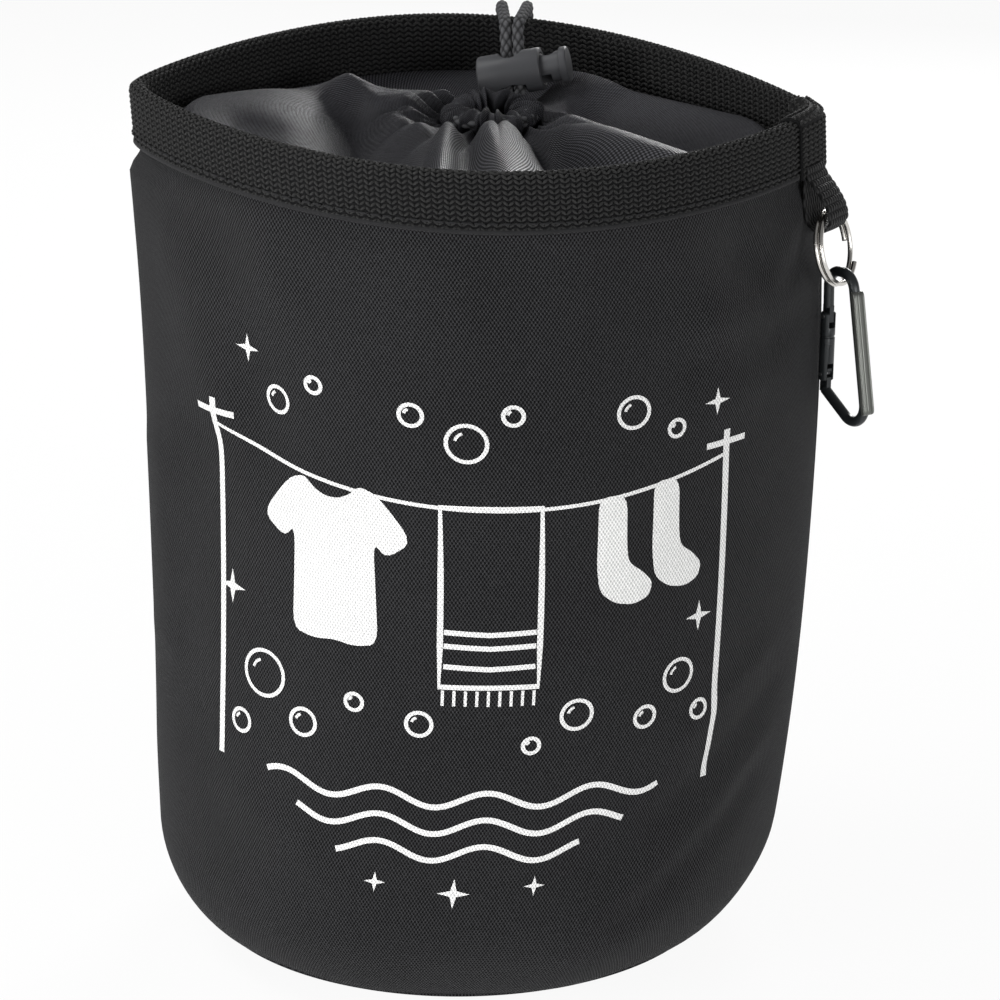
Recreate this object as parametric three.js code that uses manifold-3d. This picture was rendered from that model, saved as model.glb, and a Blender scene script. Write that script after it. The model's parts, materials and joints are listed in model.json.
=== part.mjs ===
// A soft round peg bag: fabric wall and base, a bound rim, a drawstring liner and a clip to hang it by.
// Millimetres, +Z up. The origin is on the floor, under the middle of the round base.
// The front of the bag faces -Y, and the side seam with its hanging tab is at +X.
import * as THREE from "three";
import { mergeVertices } from "three/addons/utils/BufferGeometryUtils.js";
import Module from "manifold-3d";

const wasm = await Module();
wasm.setup();

const DEGREE = Math.PI / 180;

// Bag body
const BAG_HEIGHT = 252; // floor to the top of the rim, at the middle of the mouth
const BODY_RADIUS = 91.5; // to the middle of the wall fabric
const BASE_CORNER = 33; // radius of the turn from wall to base
const BASE_SEAM_RISE = 4.7; // height of the base seam above the floor
const FABRIC = 0.9; // thickness of the wall and base fabric
const BODY_SWELL = 1.4; // how far the wall stands out at half height
const BODY_BOW = 6; // how far the wall leans to +X at half height
const CLEARANCE = 0.3; // between pieces that touch

// Mouth of the bag, pinched at both side seams
const MOUTH_HALF_WIDTH = 100;
const MOUTH_FRONT = 83; // from the middle of the mouth to the front of the rim
const MOUTH_BACK = 103; // from the middle of the mouth to the back of the rim
const FRONT_PINCH = 1.95; // 1 is an ellipse, more draws the side tips out
const BACK_PINCH = 2;
const TIP_SOFTNESS = 0.35; // 0 is a sharp side tip
const MOUTH_SHIFT_X = 5;
const MOUTH_SHIFT_Y = 7;
const MOUTH_SLOPE_X = -0.04; // the rim drops to the right
const MOUTH_SLOPE_Y = 0.06; // and climbs to the back

// Rim binding and seam tapes
const WEBBING = 1.6; // thickness of the folded rim webbing
const BINDING_DROP = 16.7; // rim top to the lower edge of the webbing
const OVERLAP_FRONT = 24 * DEGREE; // the webbing's end laps over its start, this far to the front
const OVERLAP_BACK = 12 * DEGREE;
const TAPE = 1.4; // thickness of the bound seam allowances inside
const BASE_TAPE_LENGTH = 9;
const SIDE_TAPE_HALF_ANGLE = 3 * DEGREE;
const SIDE_TAPE_GAP = 0.5;
const SIDE_TAPE_END = 8; // left free above the base corner and below the rim webbing

// Drawstring liner, gathered on its cord
const LINER = 0.8; // thickness
const GATHER_X = 10.5;
const GATHER_Y = 42.5;
const GATHER_DROP = 13.5; // rim top to the middle of the gathered hem
const GATHER_RADIUS = 12.5;
const HEM_RADIUS = 3.6; // outside of the hem that the cord runs in
const HEM_BORE = 2.1;
const CORD_DIAMETER = 3.2;
const CORD_EXIT = 72 * DEGREE; // direction in which both cords leave the hem
const CORD_EXIT_TURN = 7; // bend radius where they leave it
const CORD_SPACING = 3.8; // between the two cords in the cord lock
const KNOT_RADIUS = 5.4; // of the knot at the cords' far end
const KNOT_FLATTEN = 0.8;
const CUT_END = 9; // cord below the knot

// Folds of the liner. Each runs over the bag from one place to another, with its height at both, and fades over
// a width to the left and to the right of that line. Folds that sink have a height below zero.
const FOLD_END = 9; // how far a fold fades past its ends
const FOLD_ROUND = 4; // how sharply folds that rise meet, more is sharper
const HEM_FADE = 0.15; // share of the way from hem to rim over which the folds begin
const RIM_FADE = 0.13; // and over which they end
const FOLDS = [
  { from: [-92, 8, 9], to: [-32, 51, 11.5], left: 13, right: 40 },
  { from: [-32, 51, 11.5], to: [0, 47, 6.5], left: 9, right: 15 },
  { from: [-30, 40, -8], to: [-24, -60, -14], left: 13, right: 16 },
  { from: [11, 26, 9], to: [15, -66, 10], left: 10, right: 10 },
  { from: [-2, 25, 7], to: [-6, -60, 7], left: 4.5, right: 4.5 },
  { from: [4.5, 24, -3], to: [4.5, -60, -5], left: 4, right: 4 },
  { from: [24, 40, 8], to: [62, -36, 12], left: 20, right: 7 },
  { from: [36, 78, 9], to: [94, 18, 8], left: 6, right: 15 },
  { from: [26, 22, -4], to: [37, -52, -7], left: 7, right: 7 },
  { from: [-40, 78, -5], to: [24, 78, -4], left: 16, right: 14 },
];

// Cord lock
const LOCK_CENTRE = new THREE.Vector3(7.2, 27.5, 8.1); // its cord hole, from the middle of the gather
const LOCK_TURN = -10 * DEGREE; // about the upright
const LOCK_TILT = 11 * DEGREE; // button end up
const LOCK_PITCH = 50 * DEGREE; // climb of the cords through it
const BARREL_RADIUS = 6.6;
const BARREL_BLIND_END = 10.6; // from the cord hole to the closed end
const BARREL_OPEN_END = 9.2;
const BARREL_FLOOR = 1;
const BUTTON_RADIUS = 4.6;
const BUTTON_OUT = 8.3; // how far the button stands out of the barrel
const BUTTON_FLANGE_RADIUS = 5.6;
const BUTTON_FLANGE = 2.4;
const BUTTON_INNER_WALL = 1.2; // between the button's cord slot and its inner end
const BUTTON_SLOT_REACH = 3; // how far the button's slot shows outside the barrel
const HOLE_HALF_WIDTH = 2.3; // across the barrel
const LOCK_SPRING_RADIUS = 3.4;
const LOCK_SPRING_WIRE = 0.5;
const LOCK_SPRING_TURNS = 2;

// Hanging tab and split ring
const TAB_ANGLE = -18 * DEGREE; // place of the tab beside the side seam
const TAB_WIDTH = 13;
const TAB_LENGTH = 17;
const TAB_START = 0.9; // below the rim webbing, which slopes across the tab
const TAB_WEBBING = 1.3;
const TAB_LEAN = 20 * DEGREE;
const TAB_LOOP_RADIUS = 2.8; // inside the loop
const TAB_LOOP_HEIGHT = 8.4;
const RING_RADIUS = 10.6; // to the middle of the wire
const RING_WIRE = 1.5;
const RING_PITCH = 2; // from one turn of the ring to the next
const RING_TURNS = 1.9;
const PAIR_TURN = 0.75; // turns from the wire's start to the middle of the pair in the tab's loop
const RING_START = 90 * DEGREE; // the wire begins a quarter turn below the tab's loop
const RING_LEAN = 11 * DEGREE;

// Clip
const CLIP_AZIMUTH = -57 * DEGREE; // direction of its spine, seen from above
const CLIP_LEAN = 2 * DEGREE;
const ROD_RADIUS = 1.8;
const CLIP_TOP_HALF_WIDTH = 5.4;
const CLIP_TOP_BEND = 5;
const CLIP_SPINE_OUT = 12.3; // spine's lower end, out from the top
const CLIP_SPINE_DROP = 44;
const CLIP_FOOT_BEND = 5.5;
const GATE_TOP = new THREE.Vector2(-5.6, -9.5); // end of the rod above the gate
const GATE_FOOT = new THREE.Vector2(-7, -34.5); // end of the rod below the gate
const SPINE_PLATE_WIDTH = 6.4;
const SPINE_PLATE_OUT = 2.9; // outer face, from the middle of the rod
const SPINE_PLATE_IN = 1;
const SPINE_PLATE_START = 4.8; // below the top corner
const GATE_RADIUS = 2.2;
const GATE_PIVOT_INSET = 2.6; // pivot, from the rod's upper end
const GATE_LATCH_INSET = 4.8; // latch pin, from the rod's lower end
const GATE_PIVOT_END = 1.2; // gate past its pivot
const GATE_LATCH_END = 2; // gate past its latch pin
const TONGUE_HALF_THICKNESS = 0.8;
const TONGUE_HALF_WIDTH = 1.6;
const TONGUE_END = 1.8; // past the pivot and past the latch pin
const ROD_END_GRIP = 0.6; // how far the flat tongues run into the rod
const SLOT_DEPTH = 3.4; // of the gate's slots, past the pivot and the latch pin
const PIVOT_RADIUS = 0.8;
const LATCH_RADIUS = 0.6;
const GATE_SPRING_RADIUS = 0.8;
const GATE_SPRING_WIRE = 0.5;
const GATE_SPRING_TURNS = 6;
const GATE_SPRING_LENGTH = 8;

// Facets
const RING_STEPS = 60;
const LINER_STEPS = 96;
const LINER_ROWS = 11;
const ROD_SIDES = 10;
const CORD_SIDES = 8;
const CORD_STEPS = 40;
const HEM_STEPS = 24;
const KNOT_STEPS = 14;
const BARREL_SIDES = 28;
const GATE_SIDES = 18;
const HOLE_SIDES = 16;
const PIN_SIDES = 12;
const CUT_PAST = 1; // how far a cut runs past the face that it opens

const FABRIC_BLACK = new THREE.MeshStandardMaterial({ color: 0x2d2e30, roughness: 0.85, metalness: 0 });
const WEBBING_BLACK = new THREE.MeshStandardMaterial({ color: 0x29292b, roughness: 0.9, metalness: 0 });
const LINER_GREY = new THREE.MeshStandardMaterial({ color: 0x46474a, roughness: 0.7, metalness: 0 });
const CORD_GREY = new THREE.MeshStandardMaterial({ color: 0x8e8f92, roughness: 0.9, metalness: 0 });
const LOCK_PLASTIC = new THREE.MeshStandardMaterial({ color: 0x3c3e42, roughness: 0.45, metalness: 0 });
const SPRING_STEEL = new THREE.MeshStandardMaterial({ color: 0xa9abad, roughness: 0.35, metalness: 1 });
const NICKEL = new THREE.MeshStandardMaterial({ color: 0xc9c6c0, roughness: 0.25, metalness: 1 });
const CLIP_BLACK = new THREE.MeshStandardMaterial({ color: 0x3a3f42, roughness: 0.35, metalness: 0.8 });

const bag = new THREE.Group();

function addPiece(name, geometry, material, parent = bag) {
  const mesh = new THREE.Mesh(geometry, material);
  mesh.name = name;
  parent.add(mesh);
  return mesh;
}

// Booleans on closed meshes
function toSolid(geometry) {
  const bare = geometry.clone();
  bare.deleteAttribute("normal");
  bare.deleteAttribute("uv");
  const merged = mergeVertices(bare, 1e-4);
  const triVerts = new Uint32Array(merged.index.array);
  const vertProperties = new Float32Array(merged.attributes.position.array);
  return new wasm.Manifold(new wasm.Mesh({ numProp: 3, vertProperties, triVerts }));
}

function toGeometry(solid) {
  const mesh = solid.getMesh();
  const geometry = new THREE.BufferGeometry();
  geometry.setAttribute("position", new THREE.BufferAttribute(new Float32Array(mesh.vertProperties), 3));
  geometry.setIndex(new THREE.BufferAttribute(new Uint32Array(mesh.triVerts), 1));
  geometry.computeVertexNormals();
  return geometry;
}

function join(first, ...more) {
  return toGeometry(more.reduce((all, one) => all.add(toSolid(one)), toSolid(first)));
}

function cut(first, ...more) {
  return toGeometry(more.reduce((all, one) => all.subtract(toSolid(one)), toSolid(first)));
}

// A polygon with its corners on a circle
function circle(radius, sides) {
  const points = Array.from({ length: sides }, (_, i) => {
    const angle = (i * 2 * Math.PI) / sides;
    return new THREE.Vector2(radius * Math.cos(angle), radius * Math.sin(angle));
  });
  return new THREE.Shape(points);
}

// A curve from a function of 0 to 1
function curveOf(place) {
  const curve = new THREE.Curve();
  curve.getPoint = (t) => place(t);
  return curve;
}

function tube(curve, shape, steps) {
  return new THREE.ExtrudeGeometry(shape, { extrudePath: curve, steps, bevelEnabled: false });
}

// A cylinder along X, Y or Z between two places on that axis
function bar(axis, radius, from, to, sides = BARREL_SIDES) {
  const geometry = new THREE.CylinderGeometry(radius, radius, to - from, sides);
  geometry.translate(0, (from + to) / 2, 0);
  if (axis === "x") geometry.rotateZ(-Math.PI / 2);
  if (axis === "z") geometry.rotateX(Math.PI / 2);
  return geometry;
}

function block(x0, x1, y0, y1, z0, z1) {
  const geometry = new THREE.BoxGeometry(x1 - x0, y1 - y0, z1 - z0);
  return geometry.translate((x0 + x1) / 2, (y0 + y1) / 2, (z0 + z1) / 2);
}

// A coil about Z, and the least gap that its turns leave between them
function coil(name, radius, wire, turns, pitch, sides, stepsPerTurn) {
  const curve = curveOf((t) => {
    const angle = t * turns * 2 * Math.PI;
    return new THREE.Vector3(radius * Math.cos(angle), radius * Math.sin(angle), pitch * turns * (t - 0.5));
  });
  const steps = Math.round(turns * stepsPerTurn);
  const points = curve.getPoints(steps);
  const gaps = points.flatMap((point, i) =>
    points.slice(i + Math.ceil(stepsPerTurn / 2)).map((other) => point.distanceTo(other) - wire),
  );
  console.log(`${name}: least gap to itself ${Math.min(...gaps).toFixed(2)} mm`);
  return tube(curve, circle(wire / 2, sides), steps);
}

// Places a point of a plain round bag (angle, radius, height) on the pinched and leaning bag
function shaped(angle, radius, height) {
  const share = height / BAG_HEIGHT;
  const bow = Math.sin(Math.PI * share);
  const sine = Math.sin(angle);
  const front = sine < 0;
  const pinch = ((front ? FRONT_PINCH : BACK_PINCH) - 1) * share;
  const softness = TIP_SOFTNESS ** 2;
  const squeeze = ((sine ** 2 + softness) / (1 + softness)) ** (pinch / 2);
  const swollen = BODY_RADIUS + BODY_SWELL * bow;
  const reach = (mouth) => (radius / BODY_RADIUS) * (swollen + (mouth - BODY_RADIUS) * share);
  const x = reach(MOUTH_HALF_WIDTH) * Math.cos(angle);
  const y = reach(front ? MOUTH_FRONT : MOUTH_BACK) * sine * squeeze;
  return new THREE.Vector3(
    x + MOUTH_SHIFT_X * share + BODY_BOW * bow,
    y + MOUTH_SHIFT_Y * share,
    height + (MOUTH_SLOPE_X * x + MOUTH_SLOPE_Y * y) * share ** 2,
  );
}

// Turns a section (out, up) all the way round, and places each of its points
function allRound(section, place = shaped, steps = RING_STEPS) {
  const geometry = new THREE.LatheGeometry(section, steps);
  const position = geometry.attributes.position;
  for (let i = 0; i < position.count; i++) {
    const angle = (Math.floor(i / section.length) * 2 * Math.PI) / steps;
    const point = section[i % section.length];
    position.setXYZ(i, ...place(angle, point.x, point.y));
  }
  return geometry;
}

// Takes a section (out, up) part of the way round the bag
function partWay(section, from, to, steps) {
  const shape = new THREE.Shape(section);
  const geometry = new THREE.ExtrudeGeometry(shape, { depth: 1, steps, bevelEnabled: false });
  const position = geometry.attributes.position;
  for (let i = 0; i < position.count; i++) {
    const angle = to + (from - to) * position.getZ(i);
    position.setXYZ(i, ...shaped(angle, position.getX(i), position.getY(i)));
  }
  return geometry;
}

const closed = (points) => [...points, points[0]];

// Evenly spaced numbers, both ends among them
function spread(from, to, steps) {
  return Array.from({ length: steps + 1 }, (_, i) => from + ((to - from) * i) / steps);
}

// Heights and radii that the rim's layers share
const turnCentre = BASE_CORNER + FABRIC / 2;
const wallTop = BAG_HEIGHT - WEBBING - CLEARANCE;
const bindingLow = BAG_HEIGHT - BINDING_DROP;
const outerFace = BODY_RADIUS + FABRIC / 2;
const innerFace = BODY_RADIUS - FABRIC / 2;
const seamAngle = Math.asin((BASE_SEAM_RISE - turnCentre) / BASE_CORNER);

// A point on the turn from wall to base, at an angle below level and out from the middle of the fabric
function onTurn(angle, out) {
  const radius = BASE_CORNER + out;
  return new THREE.Vector2(
    BODY_RADIUS - BASE_CORNER + radius * Math.cos(angle),
    turnCentre + radius * Math.sin(angle),
  );
}

// Wall: one sheet from the base seam up into the rim binding
function wallFace(out) {
  const turn = spread(seamAngle, 0, 4).map((angle) => onTurn(angle, out));
  const upright = spread(turnCentre, bindingLow, 5).slice(1);
  return [...turn, ...[...upright, wallTop].map((z) => new THREE.Vector2(BODY_RADIUS + out, z))];
}
const wallSection = [...wallFace(FABRIC / 2), ...wallFace(-FABRIC / 2).reverse()];
addPiece("wall_panel", allRound(closed(wallSection)), FABRIC_BLACK);

// Base: a flat disc whose edge turns up to the seam
function baseFace(out) {
  const seamGap = CLEARANCE / BASE_CORNER;
  const turn = spread(-Math.PI / 2, seamAngle - seamGap, 2).map((angle) => onTurn(angle, out));
  return [new THREE.Vector2(0, FABRIC / 2 - out), ...turn];
}
addPiece("base_panel", allRound([...baseFace(FABRIC / 2), ...baseFace(-FABRIC / 2).reverse()]), FABRIC_BLACK);

// Tapes round the seam allowances, against the inside of the wall
const baseTapeFace = (out) =>
  spread(seamAngle, seamAngle + BASE_TAPE_LENGTH / BASE_CORNER, 2).map((angle) => onTurn(angle, out));
const baseTapeOut = -FABRIC / 2 - CLEARANCE;
const baseTapeSection = [...baseTapeFace(baseTapeOut), ...baseTapeFace(baseTapeOut - TAPE).reverse()];
addPiece("base_seam_tape", allRound(closed(baseTapeSection)), WEBBING_BLACK);

const sideTapeHeights = spread(turnCentre + SIDE_TAPE_END, bindingLow - SIDE_TAPE_END, 5);
const sideTapeFace = (radius) => sideTapeHeights.map((z) => new THREE.Vector2(radius, z));
const sideTapeOut = innerFace - SIDE_TAPE_GAP;
const sideTapeSection = [...sideTapeFace(sideTapeOut), ...sideTapeFace(sideTapeOut - TAPE).reverse()];
addPiece(
  "side_seam_tape",
  partWay(sideTapeSection, -SIDE_TAPE_HALF_ANGLE, SIDE_TAPE_HALF_ANGLE, 2),
  WEBBING_BLACK,
);

// Rim binding: webbing folded over the wall's edge, whose end laps over its start at the side seam
const crown = BAG_HEIGHT - WEBBING;
const bindingOut = outerFace + CLEARANCE;
const bindingIn = innerFace - CLEARANCE;
const slant = WEBBING * Math.SQRT1_2;
const section = (...points) => points.map(([x, y]) => new THREE.Vector2(x, y));
const bindingSection = section(
  [bindingOut + WEBBING, bindingLow],
  [bindingOut + WEBBING, crown],
  [bindingOut + slant, crown + slant],
  [bindingOut, BAG_HEIGHT],
  [bindingIn, BAG_HEIGHT],
  [bindingIn - slant, crown + slant],
  [bindingIn - WEBBING, crown],
  [bindingIn - WEBBING, bindingLow],
  [bindingIn, bindingLow],
  [bindingIn, crown],
  [bindingOut, crown],
  [bindingOut, bindingLow],
);
const lapSection = section(
  [bindingOut + 2 * WEBBING, bindingLow],
  [bindingOut + 2 * WEBBING, crown],
  [bindingOut + 2 * slant, crown + 2 * slant],
  [bindingOut, BAG_HEIGHT + WEBBING],
  [bindingIn, BAG_HEIGHT + WEBBING],
  [bindingIn - slant, crown + slant],
  [bindingOut + WEBBING / 2, crown + WEBBING / 4],
  [bindingOut + WEBBING / 2, bindingLow],
);
const lapSteps = Math.round((OVERLAP_FRONT + OVERLAP_BACK) / ((2 * Math.PI) / RING_STEPS));
const bindingEnd = partWay(lapSection, -OVERLAP_FRONT, OVERLAP_BACK, lapSteps);
const bindingRing = allRound(closed(bindingSection));
addPiece("rim_binding", join(bindingRing, bindingEnd), WEBBING_BLACK);

// Liner: a pleated sheet from under the rim binding in to the gathered hem
const gather = new THREE.Vector3(GATHER_X, GATHER_Y, BAG_HEIGHT - GATHER_DROP);
const linerEdgeRadius = bindingIn - WEBBING - 2 * CLEARANCE;
const linerEdgeHeight = bindingLow + LINER / 2;
const hemSeat = (HEM_RADIUS + CLEARANCE + LINER) * Math.SQRT1_2; // the liner meets the hem's lower outside
const linerHemRadius = GATHER_RADIUS + hemSeat;

function smoothStep(value, from, to) {
  return THREE.MathUtils.smoothstep(value, from, to);
}
function foldHeight(x, y, { from, to, left, right }) {
  const line = new THREE.Vector2(to[0] - from[0], to[1] - from[1]);
  const run = line.length();
  line.normalize();
  const place = new THREE.Vector2(x - from[0], y - from[1]);
  const along = place.dot(line);
  const across = line.cross(place);
  const past = Math.max(0, -along, along - run);
  const share = Math.min(Math.max(along / run, 0), 1);
  const fade = (across / (across > 0 ? left : right)) ** 2 + (past / FOLD_END) ** 2;
  return (from[2] + (to[2] - from[2]) * share) * Math.exp(-fade);
}
function linerRise(x, y) {
  const heights = FOLDS.map((fold) => foldHeight(x, y, fold));
  const raised = heights.reduce((sum, height) => sum + Math.max(height, 0) ** FOLD_ROUND, 0);
  const sunk = heights.reduce((sum, height) => sum + Math.min(height, 0), 0);
  return raised ** (1 / FOLD_ROUND) + sunk;
}
function linerPlace(angle, fromHem, up) {
  const edge = shaped(angle, linerEdgeRadius, linerEdgeHeight);
  const hem = new THREE.Vector3(
    gather.x + linerHemRadius * Math.cos(angle),
    gather.y + linerHemRadius * Math.sin(angle),
    gather.z - hemSeat,
  );
  const point = hem.lerp(edge, fromHem);
  const free = smoothStep(fromHem, 0, HEM_FADE) * (1 - smoothStep(fromHem, 1 - RIM_FADE, 1));
  point.z += free * linerRise(point.x, point.y) + up;
  return point;
}
const linerRows = spread(0, 1, LINER_ROWS);
const linerSection = [
  ...linerRows.map((fromHem) => new THREE.Vector2(fromHem, -LINER / 2)),
  ...linerRows.reverse().map((fromHem) => new THREE.Vector2(fromHem, LINER / 2)),
];
addPiece("closing_liner", allRound(closed(linerSection), linerPlace, LINER_STEPS), LINER_GREY);

// Hem: a tube round the gather, open where the cord comes out
const exitSide = CORD_SPACING / 2 + CORD_EXIT_TURN;
const exitHalfAngle = Math.asin(exitSide / (GATHER_RADIUS + CORD_EXIT_TURN));
const onGather = (angle) =>
  new THREE.Vector3(Math.cos(angle), Math.sin(angle), 0).multiplyScalar(GATHER_RADIUS).add(gather);
const hemFrom = CORD_EXIT + exitHalfAngle;
const hemTo = CORD_EXIT - exitHalfAngle + 2 * Math.PI;
const hemShape = circle(HEM_RADIUS, ROD_SIDES);
hemShape.holes.push(circle(HEM_BORE, ROD_SIDES));
const hemCurve = curveOf((t) => onGather(hemFrom + (hemTo - hemFrom) * t));
addPiece("liner_hem", tube(hemCurve, hemShape, HEM_STEPS), LINER_GREY);

// Drawcord inside the hem, bending out of it at both ends
const exitAlong = Math.sqrt((GATHER_RADIUS + CORD_EXIT_TURN) ** 2 - exitSide ** 2);
const exitDirection = new THREE.Vector3(Math.cos(CORD_EXIT), Math.sin(CORD_EXIT), 0);
const exitLeft = new THREE.Vector3(-Math.sin(CORD_EXIT), Math.cos(CORD_EXIT), 0);
function exitBend(side, turn) {
  return gather
    .clone()
    .addScaledVector(exitDirection, exitAlong - CORD_EXIT_TURN * Math.sin(turn))
    .addScaledVector(exitLeft, side * (exitSide - CORD_EXIT_TURN * Math.cos(turn)));
}
const bendAngles = spread(0, Math.PI / 2 - exitHalfAngle, 4);
const hemPoints = spread(hemFrom, hemTo, HEM_STEPS).slice(1, -1).map(onGather);
const drawcordPoints = [
  ...bendAngles.map((turn) => exitBend(1, turn)),
  ...hemPoints,
  ...bendAngles.map((turn) => exitBend(-1, turn)).reverse(),
];
const cordShape = circle(CORD_DIAMETER / 2, CORD_SIDES);
addPiece("drawcord", tube(new THREE.CatmullRomCurve3(drawcordPoints), cordShape, CORD_STEPS), CORD_GREY);

// Cord tails: out of the hem, through the cord lock, over the back of the rim and down behind the bag
const tailLeft = [
  [14.15, 59.88, 238.5],
  [14.65, 61.4, 238.5],
  [15.3, 63.3, 239.2],
  [15.8, 65.3, 240.75],
  [16, 67.7, 243.2],
  [15.86, 70.32, 246.24],
  [15.7, 73.6, 250],
  [15.5, 76.9, 253.8],
  [15.41, 79.54, 256.77],
  [15.35, 82.3, 258.8],
  [15.3, 85.6, 259.6],
  [15.1, 91, 260.2],
  [14.9, 97, 260.6],
  [14.7, 103, 261.2],
  [14.6, 107, 261.2],
  [14.5, 110.8, 260.1],
  [14.5, 113.5, 257.6],
  [14.4, 114.9, 254.3],
  [14.4, 115.2, 250.5],
  [14.4, 115.2, 245],
  [14.4, 115.2, 220],
  [14.4, 115.2, 195],
  [14.4, 115.2, 170],
  [14.4, 115.2, 145],
  [14.5, 115.2, 120],
  [14.5, 115.2, 103],
];
const tailRight = [
  [17.76, 58.7, 238.5],
  [18.3, 60.4, 238.55],
  [19, 62.4, 239.4],
  [19.5, 64.5, 241.1],
  [19.67, 67.05, 243.95],
  [19.54, 69.68, 246.96],
  [19.38, 72.97, 250.72],
  [19.22, 76.27, 254.48],
  [19.09, 78.9, 257.49],
  [19.3, 81.7, 259.5],
  [19.8, 85, 260.3],
  [20.6, 91, 260.7],
  [21.4, 97, 260.9],
  [22.1, 103, 261.1],
  [22.5, 107, 261],
  [22.7, 110.8, 259.9],
  [22.8, 113.5, 257.4],
  [22.8, 114.9, 254.1],
  [22.8, 115.2, 250.3],
  [22.7, 115.2, 245],
  [22.2, 115.2, 220],
  [21.3, 115.2, 195],
  [20.2, 115.2, 170],
  [19.2, 115.2, 145],
  [18.5, 115.2, 120],
  [18.3, 115.2, 103],
];
function cordTail(points) {
  const curve = new THREE.CatmullRomCurve3(points.map((point) => new THREE.Vector3(...point)));
  return tube(curve, cordShape, CORD_STEPS);
}
addPiece("cord_tail_left", cordTail(tailLeft), CORD_GREY);
addPiece("cord_tail_right", cordTail(tailRight), CORD_GREY);

// Knot that ties both tails, with their cut ends below it
const tailEnds = [tailLeft.at(-1), tailRight.at(-1)].map((point) => new THREE.Vector3(...point));
const knot = new THREE.SphereGeometry(KNOT_RADIUS, KNOT_STEPS, KNOT_STEPS);
knot.rotateX(Math.PI / 2).scale(1, KNOT_FLATTEN, 1);
const knotTop = KNOT_RADIUS * Math.sqrt(1 - (CORD_SPACING / 2 / KNOT_RADIUS) ** 2);
const cutEnds = [-1, 1].map((side) => {
  const end = bar("z", CORD_DIAMETER / 2, -KNOT_RADIUS - CUT_END, 0, CORD_SIDES);
  return end.translate((side * CORD_SPACING) / 2, 0, 0);
});
const knotCentre = tailEnds[0].clone().lerp(tailEnds[1], 0.5);
knotCentre.z -= knotTop + CLEARANCE;
addPiece("cord_knot", join(knot, ...cutEnds), CORD_GREY).position.copy(knotCentre);

// Cord lock, with its barrel along local X and its cord hole along local Z
const lockAxis = new THREE.Vector3(
  Math.cos(LOCK_TILT) * Math.cos(LOCK_TURN),
  Math.cos(LOCK_TILT) * Math.sin(LOCK_TURN),
  Math.sin(LOCK_TILT),
);
const lockBack = new THREE.Vector3(-Math.sin(LOCK_TURN), Math.cos(LOCK_TURN), 0);
const lockUp = lockAxis.clone().cross(lockBack);
const lockHole = lockBack
  .clone()
  .multiplyScalar(Math.cos(LOCK_PITCH))
  .addScaledVector(lockUp, Math.sin(LOCK_PITCH));
const cordLock = new THREE.Group();
cordLock.setRotationFromMatrix(
  new THREE.Matrix4().makeBasis(lockAxis, lockHole.clone().cross(lockAxis), lockHole),
);
cordLock.position.copy(gather).add(LOCK_CENTRE);
bag.add(cordLock);

// A hole through the lock along local Z, with round ends at two places on local X
function cordSlot(from, to) {
  const reach = BARREL_RADIUS + CUT_PAST;
  return join(
    block(from + HOLE_HALF_WIDTH, to - HOLE_HALF_WIDTH, -HOLE_HALF_WIDTH, HOLE_HALF_WIDTH, -reach, reach),
    bar("z", HOLE_HALF_WIDTH, -reach, reach, HOLE_SIDES).translate(from + HOLE_HALF_WIDTH, 0, 0),
    bar("z", HOLE_HALF_WIDTH, -reach, reach, HOLE_SIDES).translate(to - HOLE_HALF_WIDTH, 0, 0),
  );
}
const holeEnd = CORD_SPACING / 2 + CORD_DIAMETER / 2 + 2 * CLEARANCE;
const boreFloor = -BARREL_BLIND_END + BARREL_FLOOR;
const barrel = cut(
  bar("x", BARREL_RADIUS, -BARREL_BLIND_END, BARREL_OPEN_END),
  bar("x", BUTTON_RADIUS + CLEARANCE, boreFloor, BARREL_OPEN_END + CUT_PAST),
  cordSlot(-holeEnd, holeEnd),
);
addPiece("cord_lock_barrel", barrel, LOCK_PLASTIC, cordLock);

const buttonInner = -holeEnd - BUTTON_INNER_WALL;
const buttonOuter = BARREL_OPEN_END + BUTTON_OUT;
const button = cut(
  join(
    bar("x", BUTTON_RADIUS, buttonInner, buttonOuter - BUTTON_FLANGE / 2),
    bar("x", BUTTON_FLANGE_RADIUS, buttonOuter - BUTTON_FLANGE, buttonOuter),
  ),
  cordSlot(-holeEnd, BARREL_OPEN_END + BUTTON_SLOT_REACH),
);
addPiece("cord_lock_button", button, LOCK_PLASTIC, cordLock);

const lockSpringRoom = buttonInner - boreFloor - 2 * CLEARANCE - LOCK_SPRING_WIRE;
const lockSpring = coil(
  "cord_lock_spring",
  LOCK_SPRING_RADIUS,
  LOCK_SPRING_WIRE,
  LOCK_SPRING_TURNS,
  lockSpringRoom / LOCK_SPRING_TURNS,
  5,
  12,
);
lockSpring.rotateY(Math.PI / 2).translate((buttonInner + boreFloor) / 2, 0, 0);
addPiece("cord_lock_spring", lockSpring, SPRING_STEEL, cordLock);

// Hanging tab: a webbing loop sewn under the rim binding. Local X points out of the wall.
const tabRoot = shaped(TAB_ANGLE, outerFace + CLEARANCE + WEBBING, bindingLow);
const tabAlong = shaped(TAB_ANGLE + DEGREE, outerFace, bindingLow).sub(
  shaped(TAB_ANGLE - DEGREE, outerFace, bindingLow),
);
const tabAzimuth = Math.atan2(-tabAlong.x, tabAlong.y);
const hanger = new THREE.Group();
hanger.position.copy(tabRoot);
hanger.rotation.z = tabAzimuth;
bag.add(hanger);

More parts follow.
